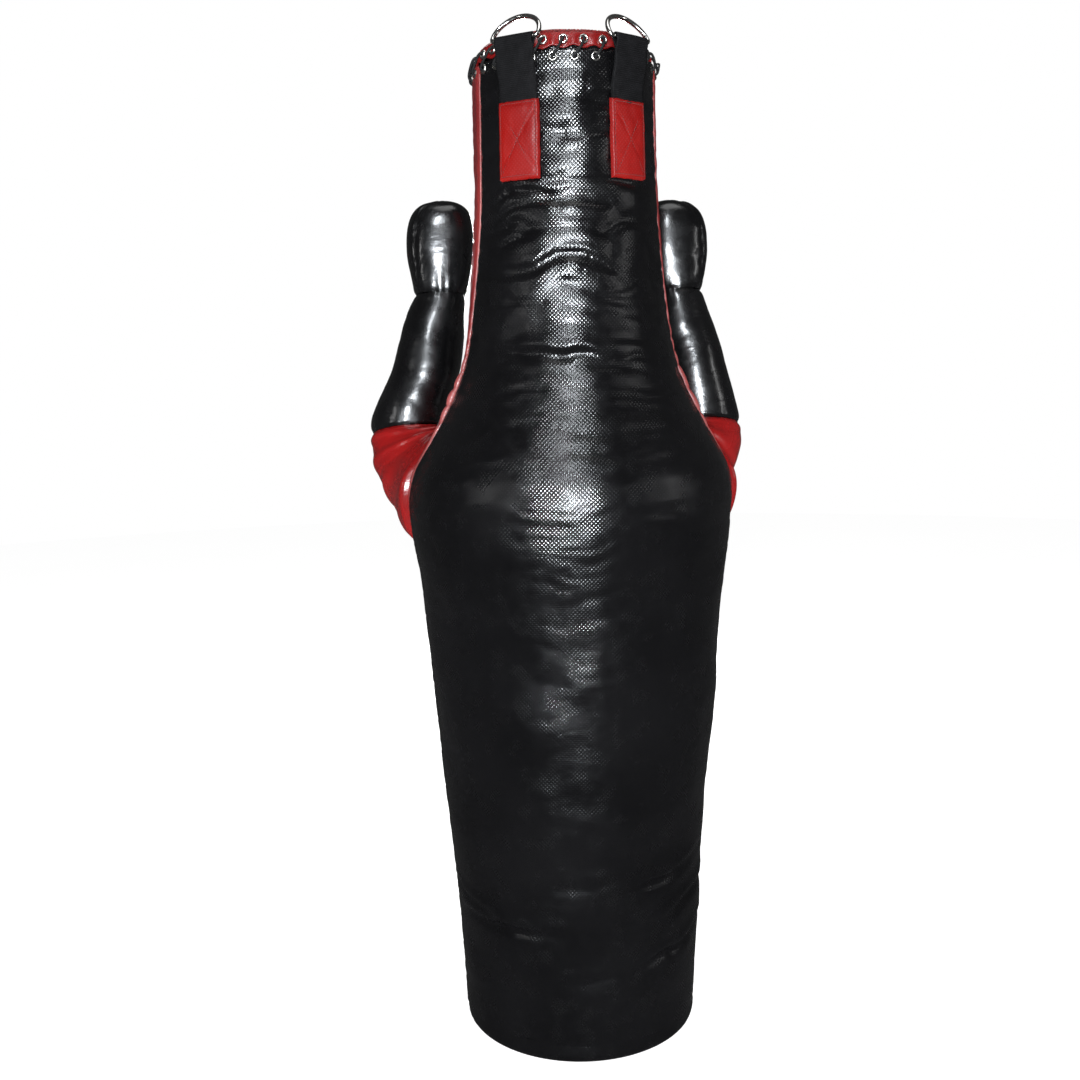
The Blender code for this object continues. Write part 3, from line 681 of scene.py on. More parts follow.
def sampled(field, angle, height):
    """A swell field read at any angle and height."""
    u = (np.asarray(angle, float) % 360) / 360 * field.shape[1]
    v = np.clip((np.asarray(height, float) - HEM[0]) / SWELL_STEP, 0, field.shape[0] - 1.001)
    u, v = np.broadcast_arrays(u, v)
    i, j = np.floor(u).astype(int), np.floor(v).astype(int)
    across, along = cubic(u - i), cubic(v - j)
    found = 0
    for a in range(4):
        row = np.clip(j + a - 1, 0, field.shape[0] - 1)
        for b in range(4):
            found = found + along[..., a] * across[..., b] * field[row, (i + b - 1) % field.shape[1]]
    return found


# ---------------------------------------------------------------- torso covers

# single creases: angle, height, half length, rise over that length, half width, depth
CREASES = [
    (-18, 1.0745, 0.120, -0.004, 0.0050, 0.0036),
    (8, 1.0640, 0.110, -0.006, 0.0050, 0.0036),
    (14, 1.0520, 0.045, -0.004, 0.0060, 0.0022),
    (-62, 0.2250, 0.070, -0.010, 0.0080, 0.0060),
    (-48, 0.2050, 0.080, 0.004, 0.0070, 0.0055),
    (0, 0.2870, 0.075, 0.003, 0.0085, 0.0013),
    (38, 0.2800, 0.075, 0.010, 0.0075, 0.0046),
    (60, 0.2300, 0.080, 0.016, 0.0080, 0.0050),
    (46, 0.1550, 0.085, 0.012, 0.0075, 0.0050),
    (-4, 0.1350, 0.050, 0.004, 0.0085, 0.0007),
    (118, 0.2450, 0.090, 0.010, 0.0080, 0.0050),
    (170, 0.2700, 0.090, -0.008, 0.0080, 0.0046),
    (200, 0.1700, 0.080, 0.006, 0.0080, 0.0048),
    (245, 0.2300, 0.080, 0.012, 0.0080, 0.0050),
    (176, 1.0680, 0.085, 0.006, 0.0055, 0.0048),
    (190, 1.0500, 0.060, -0.004, 0.0050, 0.0034),
]
# how deep the folds are at each height
fold_depth = curve_through(
    [(0.0, 0.0002), (0.10, 0.0005), (0.25, 0.0005), (0.5, 0.0005), (0.62, 0.0009), (0.80, 0.0013)]
    + [(0.95, 0.0022), (1.10, 0.0028), (1.25, 0.0052), (1.42, 0.0048), (1.47, 0.0015), (1.49, 0.0010)]
)


def torso_folds(angle, height, seed):
    """How far the filled cloth stands off its even shape: lumps, slack folds and creases."""
    wide = half_width(height)
    arc = np.radians(angle) * wide
    found = 0.0022 * waves(arc / 0.13, height / 0.11, seed)
    found += 0.0010 * waves(arc / 0.05, height / 0.045, seed + 1)
    depth = fold_depth(height)
    sway = 0.012 * waves(arc / 0.07, height / 0.09, seed + 5)
    coarse = ease(0.92, 1.14, height)
    found += coarse * depth * folds(arc / 0.13, (height + sway) / 0.021, seed + 2)
    found += (0.75 - 0.33 * coarse) * depth * folds(arc / 0.08, (height + sway) / 0.0125, seed + 3)
    for mid, level, half, rise, width, deep in CREASES:
        away = (angle - mid + 180) % 360 - 180
        u = np.radians(away) * wide / half
        line = level + rise * u + 0.004 * waves(arc / 0.03, level * 31)
        dz = (height - line) / width
        found += bell(u) * deep * (-bell(dz) + 0.55 * np.exp(-((dz - 1.9) ** 2) / 1.6))
    return found


def seam_pull(distance, along, seed, tuck=0.0032, pucker=0.0022, reach=0.020):
    """The pull of a seam on the cloth beside it, at a distance from it."""
    uneven = 0.6 * waves(along / 0.05, distance / 0.02, seed)
    ridge = folds(along / 0.0125 + uneven, distance / 0.06, seed + 1)
    return (
        -tuck * bell(distance, 0.0042)
        + pucker * (ridge + 0.35) * np.exp(-distance / reach)
        + 0.0012 * bell(distance - 0.012, 0.009)
    )


swell = swollen_torso()


def heights_between(low, high, step=0.0042):
    return np.linspace(low, high, int(round((high - low) / step)) + 1)


def torso_cover(name, low_edge, high_edge, low, columns, look, seed, amount=1.0):
    """A panel of the torso up to the rim, between two edges, given as angles for each height."""
    z = heights_between(low, RIM_HEIGHT)[:, None]
    first, last = low_edge(z), high_edge(z)
    t = np.linspace(0, 1, columns + 1)[None, :]
    angle = first + (last - first) * t
    wide = half_width(z)
    gap_low = np.radians(angle - first) * wide
    gap_high = np.radians(last - angle) * wide
    rise = amount * torso_folds(angle, z + 0 * angle, seed)
    if swell is not None:
        rise = 0.75 * rise + amount * sampled(swell, angle, z)
    inside = 1 - np.exp(-np.minimum(gap_low, gap_high) / 0.02)
    rise = rise * inside
    rise += seam_pull(gap_low, z, seed + 7) + seam_pull(gap_high, z, seed + 9)
    points = torso_surface(angle, z + 0 * angle)
    moved = points + grid_normals(points) * rise[..., None]
    uv = np.stack([np.radians(angle) * wide, np.broadcast_to(z, angle.shape)], -1)
    return lay_grid(name, moved, uv, look)


def lower_front(z):
    """The front seam, which starts where the gusset runs out to a point."""
    return 90.0 + (front_seam(z) - 90.0) * ease(0.752, 0.766, z)


LOW = HEM[0] - 0.001
back_cover = torso_cover("back_cover", lambda z: -back_seam(z), back_seam, LOW, 190, back_canvas, 1)
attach(back_cover, "torso")
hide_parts("back_panel", "core_fill")

front_cover = torso_cover(
    "front_cover", lower_front, lambda z: 360 - lower_front(z), LOW, 170, front_canvas, 21
)
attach(front_cover, "torso")
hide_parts("front_panel")

SIDES = ((1, "right"), (-1, "left"))
for side, label in SIDES:
    if side > 0:
        edges = (back_seam, lower_front)
    else:
        edges = (lambda z: -lower_front(z), lambda z: -back_seam(z))
    gusset = torso_cover(
        f"gusset_{label}", *edges, GUSSET_FOOT - 0.004, 46, gusset_vinyl, 41 + side, amount=0.5
    )
    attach(gusset, "torso")
    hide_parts(f"side_gusset_{label}")

# ---------------------------------------------------------------- base


def turned_grid(profile, turns=181):
    """Points and angles of a turned surface, from the (radius, height) of its profile."""
    angle = np.linspace(0, 360, turns)[None, :-1]
    r, z = (np.array(c)[:, None] for c in zip(*profile))
    return around(r + 0 * angle, angle, z + 0 * angle), angle


flat_base = HEM[1] - BASE_EDGE
base_curve = [(r, 0.0) for r in np.linspace(0.004, flat_base, 40)]
for k in range(1, 15):
    turn = math.radians(90 - 90 * k / 14)
    base_curve.append((flat_base + BASE_EDGE * math.cos(turn), BASE_EDGE - BASE_EDGE * math.sin(turn)))
base_curve.append((HEM[1] + 0.0002, HEM[0] + 0.0012))
base_points, base_angle = turned_grid(base_curve)
radius = np.linalg.norm(base_points[..., :2], axis=2)
height = base_points[..., 2]
arc = np.radians(base_angle) * 0.18
edge = ease(0.002, 0.012, height)
rise = edge * (0.0012 * folds(arc / 0.016, height / 0.05, 3) + 0.0012 * waves(arc / 0.06, 0.3, 4))
rise -= 0.0024 * bell(HEM[0] - height, 0.0035)
rise *= height > 0.001
outward = np.concatenate([base_points[..., :2] / radius[..., None], 0 * radius[..., None]], -1)
base_points = base_points + outward * rise[..., None]
base = lay_grid("base_cover", base_points, measured_uv(base_points, True), base_vinyl, wrap=True, flip=True)
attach(base, "torso")
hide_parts("base_panel")

# ---------------------------------------------------------------- welts and seam stitches

# the welt's thickness at each height: fullest over the shoulder
welt_thickness = curve_through(
    [(0.775, 0.0012), (0.84, 0.0018), (0.92, 0.0022), (0.965, 0.0040), (1.010, 0.0062)]
    + [(1.045, 0.0044), (1.09, 0.0030), (1.16, 0.0022), (1.485, 0.0014)]
)
for side, label in SIDES:
    z = np.arange(0.772, 1.480, 0.0022)
    thick = welt_thickness(z)
    beat = np.abs(np.sin(math.pi * (z / 0.0260 + 0.5 * waves(z / 0.07, 2.0 + side)))) ** 0.6
    thick = thick * (1 - 0.45 * (1 - beat) * ease(0.93, 0.97, z) * (1 - 0.6 * ease(1.10, 1.2, z)))
    thick *= 0.4 + 0.6 * ease(0.772, 0.80, z)
    path = torso_surface(side * back_seam(z), z, -0.0022 + 0.72 * thick)
    # the welt takes the red with painted glare
    welt = tube(f"welt_{label}", path, thick, 12, welt_painted_glare)
    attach(welt, "torso")
    lines = []
    for seam, offset, low in ((back_seam, -0.0062, 0.775), (lower_front, 0.0062, 0.790)):
        z = np.arange(low, 1.482, 0.004)
        angle = side * (seam(z) + np.degrees(offset / half_width(z)))
        points = torso_surface(angle, z, -0.0016)
        outward = unit(points * [1, 1, 0])
        lines.append(stitches(f"seam_stitches_{label}_{len(lines)}", points, outward, red_thread))
    threads_made = joined(f"seam_stitches_{label}", lines)
    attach(threads_made, "torso")

# ---------------------------------------------------------------- lid

EYELETS = 28
LID_FOOT = 1.4965
SCALLOP = 0.0022  # how far the lid's edge dips between two eyelets
LID_TOP = 1.516  # above this the lid is its flat top
LID_TURNS = 337
lid_curve = [(0.1318, LID_FOOT), (0.1312, 1.5000), (0.1300, 1.506), (0.1280, 1.5130), (0.1250, 1.5175)]
lid_curve += [(0.1205, 1.5207), (0.114, 1.5230), (0.100, 1.5262), (0.080, 1.5288), (0.060, 1.5305)]
lid_curve += [(0.030, 1.5317), (0.003, 1.5320)]
profile = smooth_path([(r, 0.0, z) for r, z in lid_curve], 5)
lid_points, lid_angle = turned_grid([(p[0], p[2]) for p in profile], LID_TURNS)
normals = grid_normals(lid_points, wrap=True)
height = lid_points[..., 2]
radius = np.linalg.norm(lid_points[..., :2], axis=2)
beat = np.cos(np.radians(lid_angle) * EYELETS - math.pi)  # 1 at an eyelet, -1 between two
skirt = 1 - ease(1.500, 1.522, height)
rise = -0.0016 * skirt * (0.5 + 0.5 * beat) + 0.0016 * skirt * np.clip(-beat, 0, 1)
on_top = height > LID_TOP
rise -= 0.0028 * bell(radius - 0.1215, 0.0022) * on_top
near_edge = bell(radius - 0.112, 0.012) * on_top
rise += 0.0011 * folds(np.radians(lid_angle) * 9, radius / 0.05, 5) * near_edge
middle = 1 - ease(0.1, 0.12, radius)
rise += 0.0016 * waves(lid_points[..., 0] / 0.06, lid_points[..., 1] / 0.06, 8) * middle
lid_points = lid_points + normals * rise[..., None]
lid_points[..., 2] -= SCALLOP * (1 - ease(LID_FOOT, 1.512, height)) * beat
lid = lay_grid("lid_cover", lid_points, measured_uv(lid_points, True), lid_vinyl, wrap=True, cap=True)
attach(lid, "torso")
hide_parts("lid")

angle = np.linspace(0, 360, LID_TURNS)
slanting = around(1.0, angle, 0.0) * [0.5, 0.5, 0] + [0, 0, 0.9]
lid_stitches = stitches("lid_stitches", around(0.1212, angle, 1.5203), slanting, red_thread)
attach(lid_stitches, "torso")
angle = angle[:-1]
edge = LID_FOOT + 0.0002 - SCALLOP * np.cos(np.radians(angle) * EYELETS - math.pi)
hem = tube("lid_hem", around(0.1312, angle, edge), 0.0015, 8, lid_vinyl, closed=True)
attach(hem, "torso")

# a dark lining behind the lacing, where the mouth of the bag shows between wall and lid
lining_curve = [(0.1310, 1.462), (0.1296, 1.478), (0.1284, 1.494), (0.1262, 1.510), (0.120, 1.519)]
lining_points, lining_angle = turned_grid(lining_curve, 181)
ripple = 0.0010 * waves(np.radians(lining_angle) * 20, lining_points[..., 2] / 0.02)
lining_points += unit(lining_points * [1, 1, 0]) * ripple[..., None]
lining = lay_grid("mouth_lining", lining_points, measured_uv(lining_points, True), front_canvas, wrap=True)
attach(lining, "torso")

# the rolled edge of each panel at the rim
for name, low, high, look, slot in (
    ("rim_hem_back", -70.4, 70.4, back_canvas, "back_panel"),
    ("rim_hem_right", 71.0, 109.0, gusset_vinyl, "side_gusset_right"),
    ("rim_hem_front", 109.6, 250.4, front_canvas, "front_panel"),
    ("rim_hem_left", 251.0, 289.0, gusset_vinyl, "side_gusset_left"),
):
    a = np.linspace(low, high, int((high - low) * 1.2))
    path = around(0.1354, a, RIM_HEIGHT + 0.0004 + 0.0012 * np.cos(np.radians(a) * EYELETS))
    hem = tube(name, path, 0.0017, 8, look)
    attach(hem, "torso")

# ---------------------------------------------------------------- eyelets

# radius and height of the two rows, and of the gap between them
WALL_ROW, LID_ROW, GAP = (0.1369, 1.4815), (0.1300, 1.506), (0.1398, 1.4945)
lid_tilt = math.atan2(0.1315 - 0.1275, 1.5155 - 1.497)  # how far the lid's skirt leans in
# an eyelet from its barrel inside to its flange's edge: how far out of the wall, and radius
EYELET_PROFILE = [(-0.0050, 0.0040), (0.0002, 0.0037), (0.0011, 0.0039), (0.0017, 0.0046)]
EYELET_PROFILE += [(0.0018, 0.0054), (0.0013, 0.0064), (0.0005, 0.0071), (-0.0006, 0.0073)]
EYELET_SIDES = 20


def eyelet_row(name, spots, replaced):
    """Rolled eyelets, each with a dome flange outside and a barrel through the wall."""
    points, faces, uv = [], [], []
    for centre, normal in spots:
        n = unit(np.array(normal))
        a = unit(np.cross(n, (0, 0, 1)))
        b = np.cross(n, a)
        start = len(points)
        for along, r in EYELET_PROFILE:
            for k in range(EYELET_SIDES):
                t = math.tau * k / EYELET_SIDES
                points.append(centre + n * along + r * (math.cos(t) * a + math.sin(t) * b))
        for i in range(len(EYELET_PROFILE) - 1):
            for k in range(EYELET_SIDES):
                ring = start + i * EYELET_SIDES
                p, q = ring + k, ring + (k + 1) % EYELET_SIDES
                faces.append([p + EYELET_SIDES, q + EYELET_SIDES, q, p])
                uv += [(k * 0.002, i * 0.001)] * 4
    row = new_mesh(name, points, faces, nickel, np.array(uv))
    work = bmesh.new()
    work.from_mesh(row.data)
    work.faces.ensure_lookup_table()
    first = work.faces[3 * EYELET_SIDES]
    centre, normal = (np.array(v) for v in spots[0])
    if np.dot(first.normal, normal) < 0:
        bmesh.ops.reverse_faces(work, faces=work.faces)
    work.to_mesh(row.data)
    work.free()
    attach(row, "torso")
    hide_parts(replaced)


wall_spots, lid_spots = [], []
for k in range(EYELETS):
    here, between = 360 * k / EYELETS, 360 * (k + 0.5) / EYELETS
    wall_spots.append((around(WALL_ROW[0], here, WALL_ROW[1]), around(1, here, 0)))
    facing = around(math.cos(lid_tilt), between, math.sin(lid_tilt))
    lid_spots.append((around(LID_ROW[0], between, LID_ROW[1]), facing))
eyelet_row("wall_eyelet_row", wall_spots, "wall_eyelets")
eyelet_row("lid_eyelet_row", lid_spots, "lid_eyelets")

# ---------------------------------------------------------------- lace

LACE = 0.0020  # radius of the cord
lace_route = []
for k in reversed(range(EYELETS)):
    (low, low_out), (high, high_out) = wall_spots[k], lid_spots[k]
    next_high, next_out = lid_spots[k - 1]
    lace_route += [
        high + high_out * 0.0040,
        around(GAP[0], 360 * (k + 0.30) / EYELETS, GAP[1]),
        low + low_out * 0.0040,
        low - low_out * 0.0075,
        next_high - next_out * 0.0072,
    ]
lace = tube("lacing", smooth_path(lace_route, 6, closed=True), LACE, 10, lace_braid, closed=True)
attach(lace, "torso")
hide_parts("lace")

KNOT_ANGLE = 360 * 6.25 / EYELETS
BOW_SIZE = 0.68
knot = around(0.1432, KNOT_ANGLE, GAP[1])
out = unit(around(1, KNOT_ANGLE, 0.0))
along = np.array([-out[1], out[0], 0.0])
up = np.array([0.0, 0.0, 1.0])
wound = []
for t in np.linspace(0, math.tau, 40, endpoint=False):
    coil = 0.0040 * (math.cos(3 * t) * up + math.sin(3 * t) * out)
    wound.append(knot + coil + along * 0.0042 * math.sin(2 * t))
bow = [tube("bow_knot", np.array(wound), LACE * 0.85, 8, lace_braid, closed=True)]
for sign, drop in ((1, 0.006), (-1, 0.011)):
    # points from the knot: along the rim, outwards and up
    loop = [(0, 0.003, 0), (0.007, 0.004, 0.002), (0.013, 0.002, 0.006 - drop)]
    loop += [(0.012, 0.001, -0.001 - drop), (0.006, 0.003, -0.003), (0, 0.002, 0)]
    end = [(0, 0.002, 0), (0.005, 0.003, -0.006), (0.008, 0.001, -0.014)]
    for part, spots, thickness in (("loop", loop, 0.8), ("end", end, 0.75)):
        path = smooth_path([knot + along * sign * x + out * y + up * z for x, y, z in spots], 8)
        bow.append(tube(f"bow_{part}_{len(bow)}", path, LACE * thickness, 8, lace_braid))
bow = joined("lace_bow", bow)
to_knot = Matrix.Translation(Vector(knot - 0.001 * out))
bow.data.transform(to_knot @ Matrix.Scale(BOW_SIZE, 4) @ Matrix.Translation(-Vector(knot)))
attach(bow, "torso")

# ---------------------------------------------------------------- straps, patches, rings

STRAPS = (("back_left", -34.5), ("back_right", 34.5), ("front_right", 145.5), ("front_left", -145.5))
WEB, STRAP_WIDTH = 0.0020, 0.060  # thickness and width of the webbing
STRAP_END, STRAP_FLAT = 1.332, 1.440  # the heights of its sewn ends, and where it starts to leave the wall
BAR_RADIUS, BAR_HEIGHT = 0.1455, 1.508  # where the straight side of a ring lies
LOOP = 0.0041  # room in the strap's fold for the ring
RING_WIRE, RING_CORNER = 0.0033, 0.0055  # radii of a ring's wire and of its corners
RING_HALF = 0.0370  # half a ring's width
RING_LEAN = math.radians(33.0)  # how far the rings lean inwards over the lid
PATCH_HALF, PATCH_LOW, PATCH_HIGH = 0.0325, 1.317, 1.427
PATCH_LIFT = 0.0062  # how far the patch stands off the wall, over the strap
PATCH_NECK = 0.1400  # radius of the neck at the patches
PATCH_INSET = 0.0052  # from the patch's edge to its stitches
PATCH_STITCH = 0.0046, 0.0034, 0.0004  # pitch, length and radius


def strap_axes(angle):
    """The ways out of the wall and across a strap."""
    t = math.radians(angle)
    return np.array([math.sin(t), -math.cos(t), 0]), np.array([math.cos(t), math.sin(t), 0])


def on_strap(angle, across, radius, height):
    """Points across a strap: round the wall below, flat at the ring."""
    flat = ease(STRAP_FLAT, 1.490, height)[..., None]
    bent = around(radius, angle + np.degrees(across / radius), height)
    out, side = strap_axes(angle)
    straight = radius[..., None] * out + across[..., None] * side + height[..., None] * np.array([0, 0, 1.0])
    return bent + (straight - bent) * flat


def strap_middle(height):
    """How far out a strap's two layers meet."""
    wall = half_width(height) + 0.0012 + WEB
    passing = 0.1452 + WEB / 2
    drawn = passing + (BAR_RADIUS - passing) * ease(GAP[1], BAR_HEIGHT, height)
    return wall + (drawn - wall) * ease(STRAP_FLAT, 1.478, height)


def layer_offset(height):
    """From there to the middle of each layer."""
    close = WEB / 2 + 0.0002
    return close + (LOOP + WEB / 2 - close) * ease(1.492, 1.506, height)


for number, (label, angle) in enumerate(STRAPS):
    z = np.linspace(STRAP_END, 1.5045, 60)
    up_leg = np.stack([strap_middle(z) + layer_offset(z), z], -1)
    over = [
        (BAR_RADIUS + (LOOP + WEB / 2) * math.cos(t), BAR_HEIGHT + (LOOP + WEB / 2) * math.sin(t))
        for t in np.linspace(0.15, math.pi - 0.15, 14)
    ]
    down_leg = np.stack([strap_middle(z) - layer_offset(z), z], -1)[::-1]
    middle = np.concatenate([up_leg, over, down_leg])
    run = unit(np.gradient(middle, axis=0))
    normal = np.stack([run[:, 1], -run[:, 0]], -1)
    across = np.linspace(-0.5, 0.5, 25) * STRAP_WIDTH
    roll = 1 - 0.35 * (np.abs(across) / (STRAP_WIDTH / 2)) ** 8
    ripple = 0.0004 * waves(across[None, :] / 0.02, middle[:, 1:2] / 0.03, number)
    faces = []
    for sign in (1, -1):
        shift = (sign * WEB / 2 * roll[None, :] + ripple)[..., None] * normal[:, None, :]
        r = middle[:, None, 0] + shift[..., 0]
        h = middle[:, None, 1] + shift[..., 1]
        faces.append(on_strap(angle, np.broadcast_to(across, r.shape), r, h))
    strap = lay_grid(f"webbing_{label}", faces[0], measured_uv(faces[0]), strap_webbing, back=faces[1])
    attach(strap, "torso")
    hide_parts(f"strap_{label}")

    # the patch, with its edges turned down round the strap's sewn end
    rows, cols, tall = 64, 44, PATCH_HIGH - PATCH_LOW
    s = np.linspace(-1, 1, cols)[None, :]
    t = np.linspace(0, 1, rows)[:, None]
    spread = 1 - 0.010 * (2 * t - 1) ** 2
    u = s * PATCH_HALF * spread + 0.0006 * waves(t * 9, s * 0.5, 3 + number)
    z = PATCH_LOW + tall * t + 0.0006 * waves(s * 7, t * 0.5, 5 + number) + 0 * s
    inner_u, inner_z = PATCH_HALF - np.abs(s) * PATCH_HALF, np.minimum(t, 1 - t) * tall
    border = np.minimum(inner_u + 0 * t, inner_z + 0 * s)
    lift = PATCH_LIFT * np.clip(border / 0.0022, 0, 1) ** 0.5
    stitched = bell(border - PATCH_INSET, 0.0016)
    slope = (2 * t - 1) * 0.94
    diagonal = np.minimum(np.abs(s * 0.8 - slope), np.abs(s * 0.8 + slope)) * PATCH_HALF
    crossed = bell(diagonal, 0.0022) * ease(0.005, 0.009, border)
    puff = 0.0005 * ease(0.005, 0.012, border) + 0.0005 * waves(s * 3, t * 6, 9 + number)
    rise = lift - 0.0005 * stitched - 0.0006 * crossed + puff * ease(0.0, 0.004, border)
    radius = half_width(z) + rise
    points = around(radius, angle + np.degrees(u / PATCH_NECK), z)
    patch = lay_grid(f"patch_{label}", points, measured_uv(points), patch_vinyl)
    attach(patch, "torso")
    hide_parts(f"strap_patch_{label}")

    def on_patch(points_uz):
        """Points along a line drawn on the patch, and the ways out of it there."""
        p = np.array(points_uz)
        run = run_along(p)
        at = np.arange(0, run[-1] + 0.001, 0.002)
        uu, zz = np.interp(at, run, p[:, 0]), np.interp(at, run, p[:, 1])
        r = half_width(zz) + PATCH_LIFT
        a = angle + np.degrees(uu / PATCH_NECK)
        return around(r, a, zz), around(1.0, a, 0 * zz)

    w, b, top = PATCH_HALF - PATCH_INSET, PATCH_LOW + PATCH_INSET, PATCH_HIGH - PATCH_INSET
    lines = [
        [(-w, b), (w, b), (w, top), (-w, top), (-w, b)],
        [(-w + 0.003, b + 0.005), (w - 0.003, top - 0.005)],
        [(w - 0.003, b + 0.005), (-w + 0.003, top - 0.005)],
    ]
    sewn = []
    for k, line in enumerate(lines):
        sewn.append(stitches(f"patch_stitch_{label}_{k}", *on_patch(line), patch_thread, *PATCH_STITCH))
    sewn = joined(f"patch_stitches_{label}", sewn)
    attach(sewn, "torso")

    # the welded ring
    out, side = strap_axes(angle)
    rise = np.array([0, 0, math.cos(RING_LEAN)]) - out * math.sin(RING_LEAN)
    bar = out * BAR_RADIUS + np.array([0, 0, BAR_HEIGHT])
    bend, wide = RING_CORNER, RING_HALF
    flat = [(x, 0.0) for x in np.linspace(-wide + bend, wide - bend, 12)]
    corner, arch = np.radians([20, 40, 60, 80]), np.radians(np.linspace(4, 176, 36))
    flat += [(wide - bend + bend * math.sin(a), bend - bend * math.cos(a)) for a in corner]
    flat += [(wide * math.cos(a), bend + wide * 0.98 * math.sin(a)) for a in arch]
    flat += [(-x, y) for x, y in reversed(flat[12:16])]
    path = [bar + side * x + rise * y for x, y in flat]
    ring = tube(f"ring_{label}", path, RING_WIRE, 14, steel, closed=True)
    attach(ring, f"ring_{label}")
    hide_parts(f"d_ring_{label}")

# ---------------------------------------------------------------- arms

SLEEVE_TURNS = 96
ROUND = np.linspace(0, math.tau, SLEEVE_TURNS, endpoint=False)
SQUARENESS = 2.5  # 2 would make the mitts oval
ARM_SLACK = 0.07  # how much longer than the arm its cloth is cut
# the middle and the half sizes of the armhole, as height and angle
ARMHOLE, ARMHOLE_HALF = (0.861, 115.0), (0.0935, 25.5)
ELBOW_FOLD = 0.046  # distance between the sleeve's slanting folds
# centre, the way its ring faces, and its two half widths: towards the front, and up
SLEEVE_RINGS = [
    ((0.2260, 0.1430, 0.8900), (0.55, 0.62, 0.56), 0.0680, 0.0830),
    ((0.2440, 0.1680, 0.9170), (0.36, 0.50, 0.79), 0.0630, 0.0720),
    ((0.2580, 0.1850, 0.9420), (0.14, 0.30, 0.94), 0.0600, 0.0640),
    ((0.2600, 0.1900, 0.9520), (0.08, 0.24, 0.97), 0.0590, 0.0615),
]
FOREARM_RINGS = [
    ((0.2600, 0.1900, 0.9520), (0.08, 0.24, 0.97), 0.0590, 0.0615),
    ((0.2590, 0.1945, 0.9630), (0.00, 0.18, 0.98), 0.0605, 0.0620),
    ((0.2520, 0.1985, 0.9900), (-0.12, 0.12, 0.99), 0.0640, 0.0600),
    ((0.2430, 0.2020, 1.0350), (-0.18, 0.08, 0.98), 0.0625, 0.0575),
    ((0.2345, 0.2050, 1.0800), (-0.19, 0.07, 0.97), 0.0585, 0.0540),
    ((0.2260, 0.2075, 1.1200), (-0.18, 0.07, 0.97), 0.0530, 0.0505),
    ((0.2175, 0.2095, 1.1600), (-0.10, 0.08, 0.99), 0.0450, 0.0455),
    ((0.2150, 0.2105, 1.1770), (-0.02, 0.09, 0.99), 0.0430, 0.0440),
]
HAND_RINGS = [
    ((0.2150, 0.2105, 1.1770), (-0.02, 0.09, 0.99), 0.0430, 0.0440),
    ((0.2150, 0.2115, 1.1900), (0, 0.09, 0.99), 0.0440, 0.0465),
    ((0.2150, 0.2140, 1.2140), (0, 0.09, 1), 0.0460, 0.0515),
    ((0.2150, 0.2175, 1.2470), (0, 0.09, 1), 0.0490, 0.0560),
    ((0.2140, 0.2205, 1.2740), (0, 0.09, 1), 0.0495, 0.0560),
    ((0.2125, 0.2225, 1.2960), (0.08, 0.09, 1), 0.0470, 0.0530),
    ((0.2105, 0.2240, 1.3120), (0.12, 0.09, 1), 0.0420, 0.0470),
    ((0.2090, 0.2250, 1.3230), (0.14, 0.09, 1), 0.0330, 0.0370),
    ((0.2075, 0.2255, 1.3290), (0.14, 0.09, 1), 0.0210, 0.0240),
    ((0.2070, 0.2258, 1.3310), (0.14, 0.09, 1), 0.0040, 0.0045),
]


def ring_axes(facing):
    """The way a ring faces, and two ways across it."""
    n = unit(np.array(facing, float))
    a = np.array([-0.454, 0.891, 0.0])
    a = unit(a - n * a.dot(n))
    return n, a, np.cross(n, a)


def ring_points(ring):
    """The points of one oval ring of an arm."""
    centre, facing, wide, tall = ring
    _, a, b = ring_axes(facing)
    return np.array(centre) + np.outer(np.cos(ROUND) * wide, a) + np.outer(np.sin(ROUND) * tall, b)


def hand_points(ring):
    """A mitt's ring: wide across x and thinner front to back."""
    centre, facing, deep, wide = ring
    n, a, b = ring_axes(facing)
    back = np.cross(n, (1, 0, 0))
    flat = np.outer(np.cos(ROUND), a) + np.outer(np.sin(ROUND), b)
    x, y = flat[:, 0], flat @ back
    length = np.hypot(x, y)
    x, y = x / length, y / length
    scale = (np.abs(x / wide) ** SQUARENESS + np.abs(y / deep) ** SQUARENESS) ** (-1 / SQUARENESS)
    return np.array(centre) + np.outer(scale * x, (1, 0, 0)) + np.outer(scale * y, back)


def loft(rings, step=0.0035):
    """Points between rings, about a step apart."""
    rings = np.array(rings)
    found = []
    for i in range(len(rings) - 1):
        b, c = rings[i], rings[i + 1]
        a = rings[i - 1] if i else 2 * b - c
        d = rings[i + 2] if i + 2 < len(rings) else 2 * c - b
        far = np.linalg.norm(c - b, axis=1).max()
        before, after = np.linalg.norm(b - a, axis=1).mean(), np.linalg.norm(d - c, axis=1).mean()
        here = np.linalg.norm(c - b, axis=1).mean()
        m0 = (c - a) * here / max(here + before, 1e-9)
        m1 = (d - b) * here / max(here + after, 1e-9)
        steps = max(int(round(far / step)), 1)
        for k in range(steps):
            t = k / steps
            start = (1 + 2 * t) * (1 - t) ** 2 * b + t * (1 - t) ** 2 * m0
            found.append(start + t * t * (3 - 2 * t) * c - t * t * (1 - t) * m1)
    found.append(rings[-1])
    return np.array(found)


def root_ring(rise, shrink=1.0):
    """Where a sleeve is sewn to the torso."""
    height = ARMHOLE[0] + ARMHOLE_HALF[0] * shrink * np.sin(ROUND)
    angle = ARMHOLE[1] + ARMHOLE_HALF[1] * shrink * np.cos(ROUND) - 2.0 * np.sin(ROUND)
    return torso_surface(angle, height, rise)


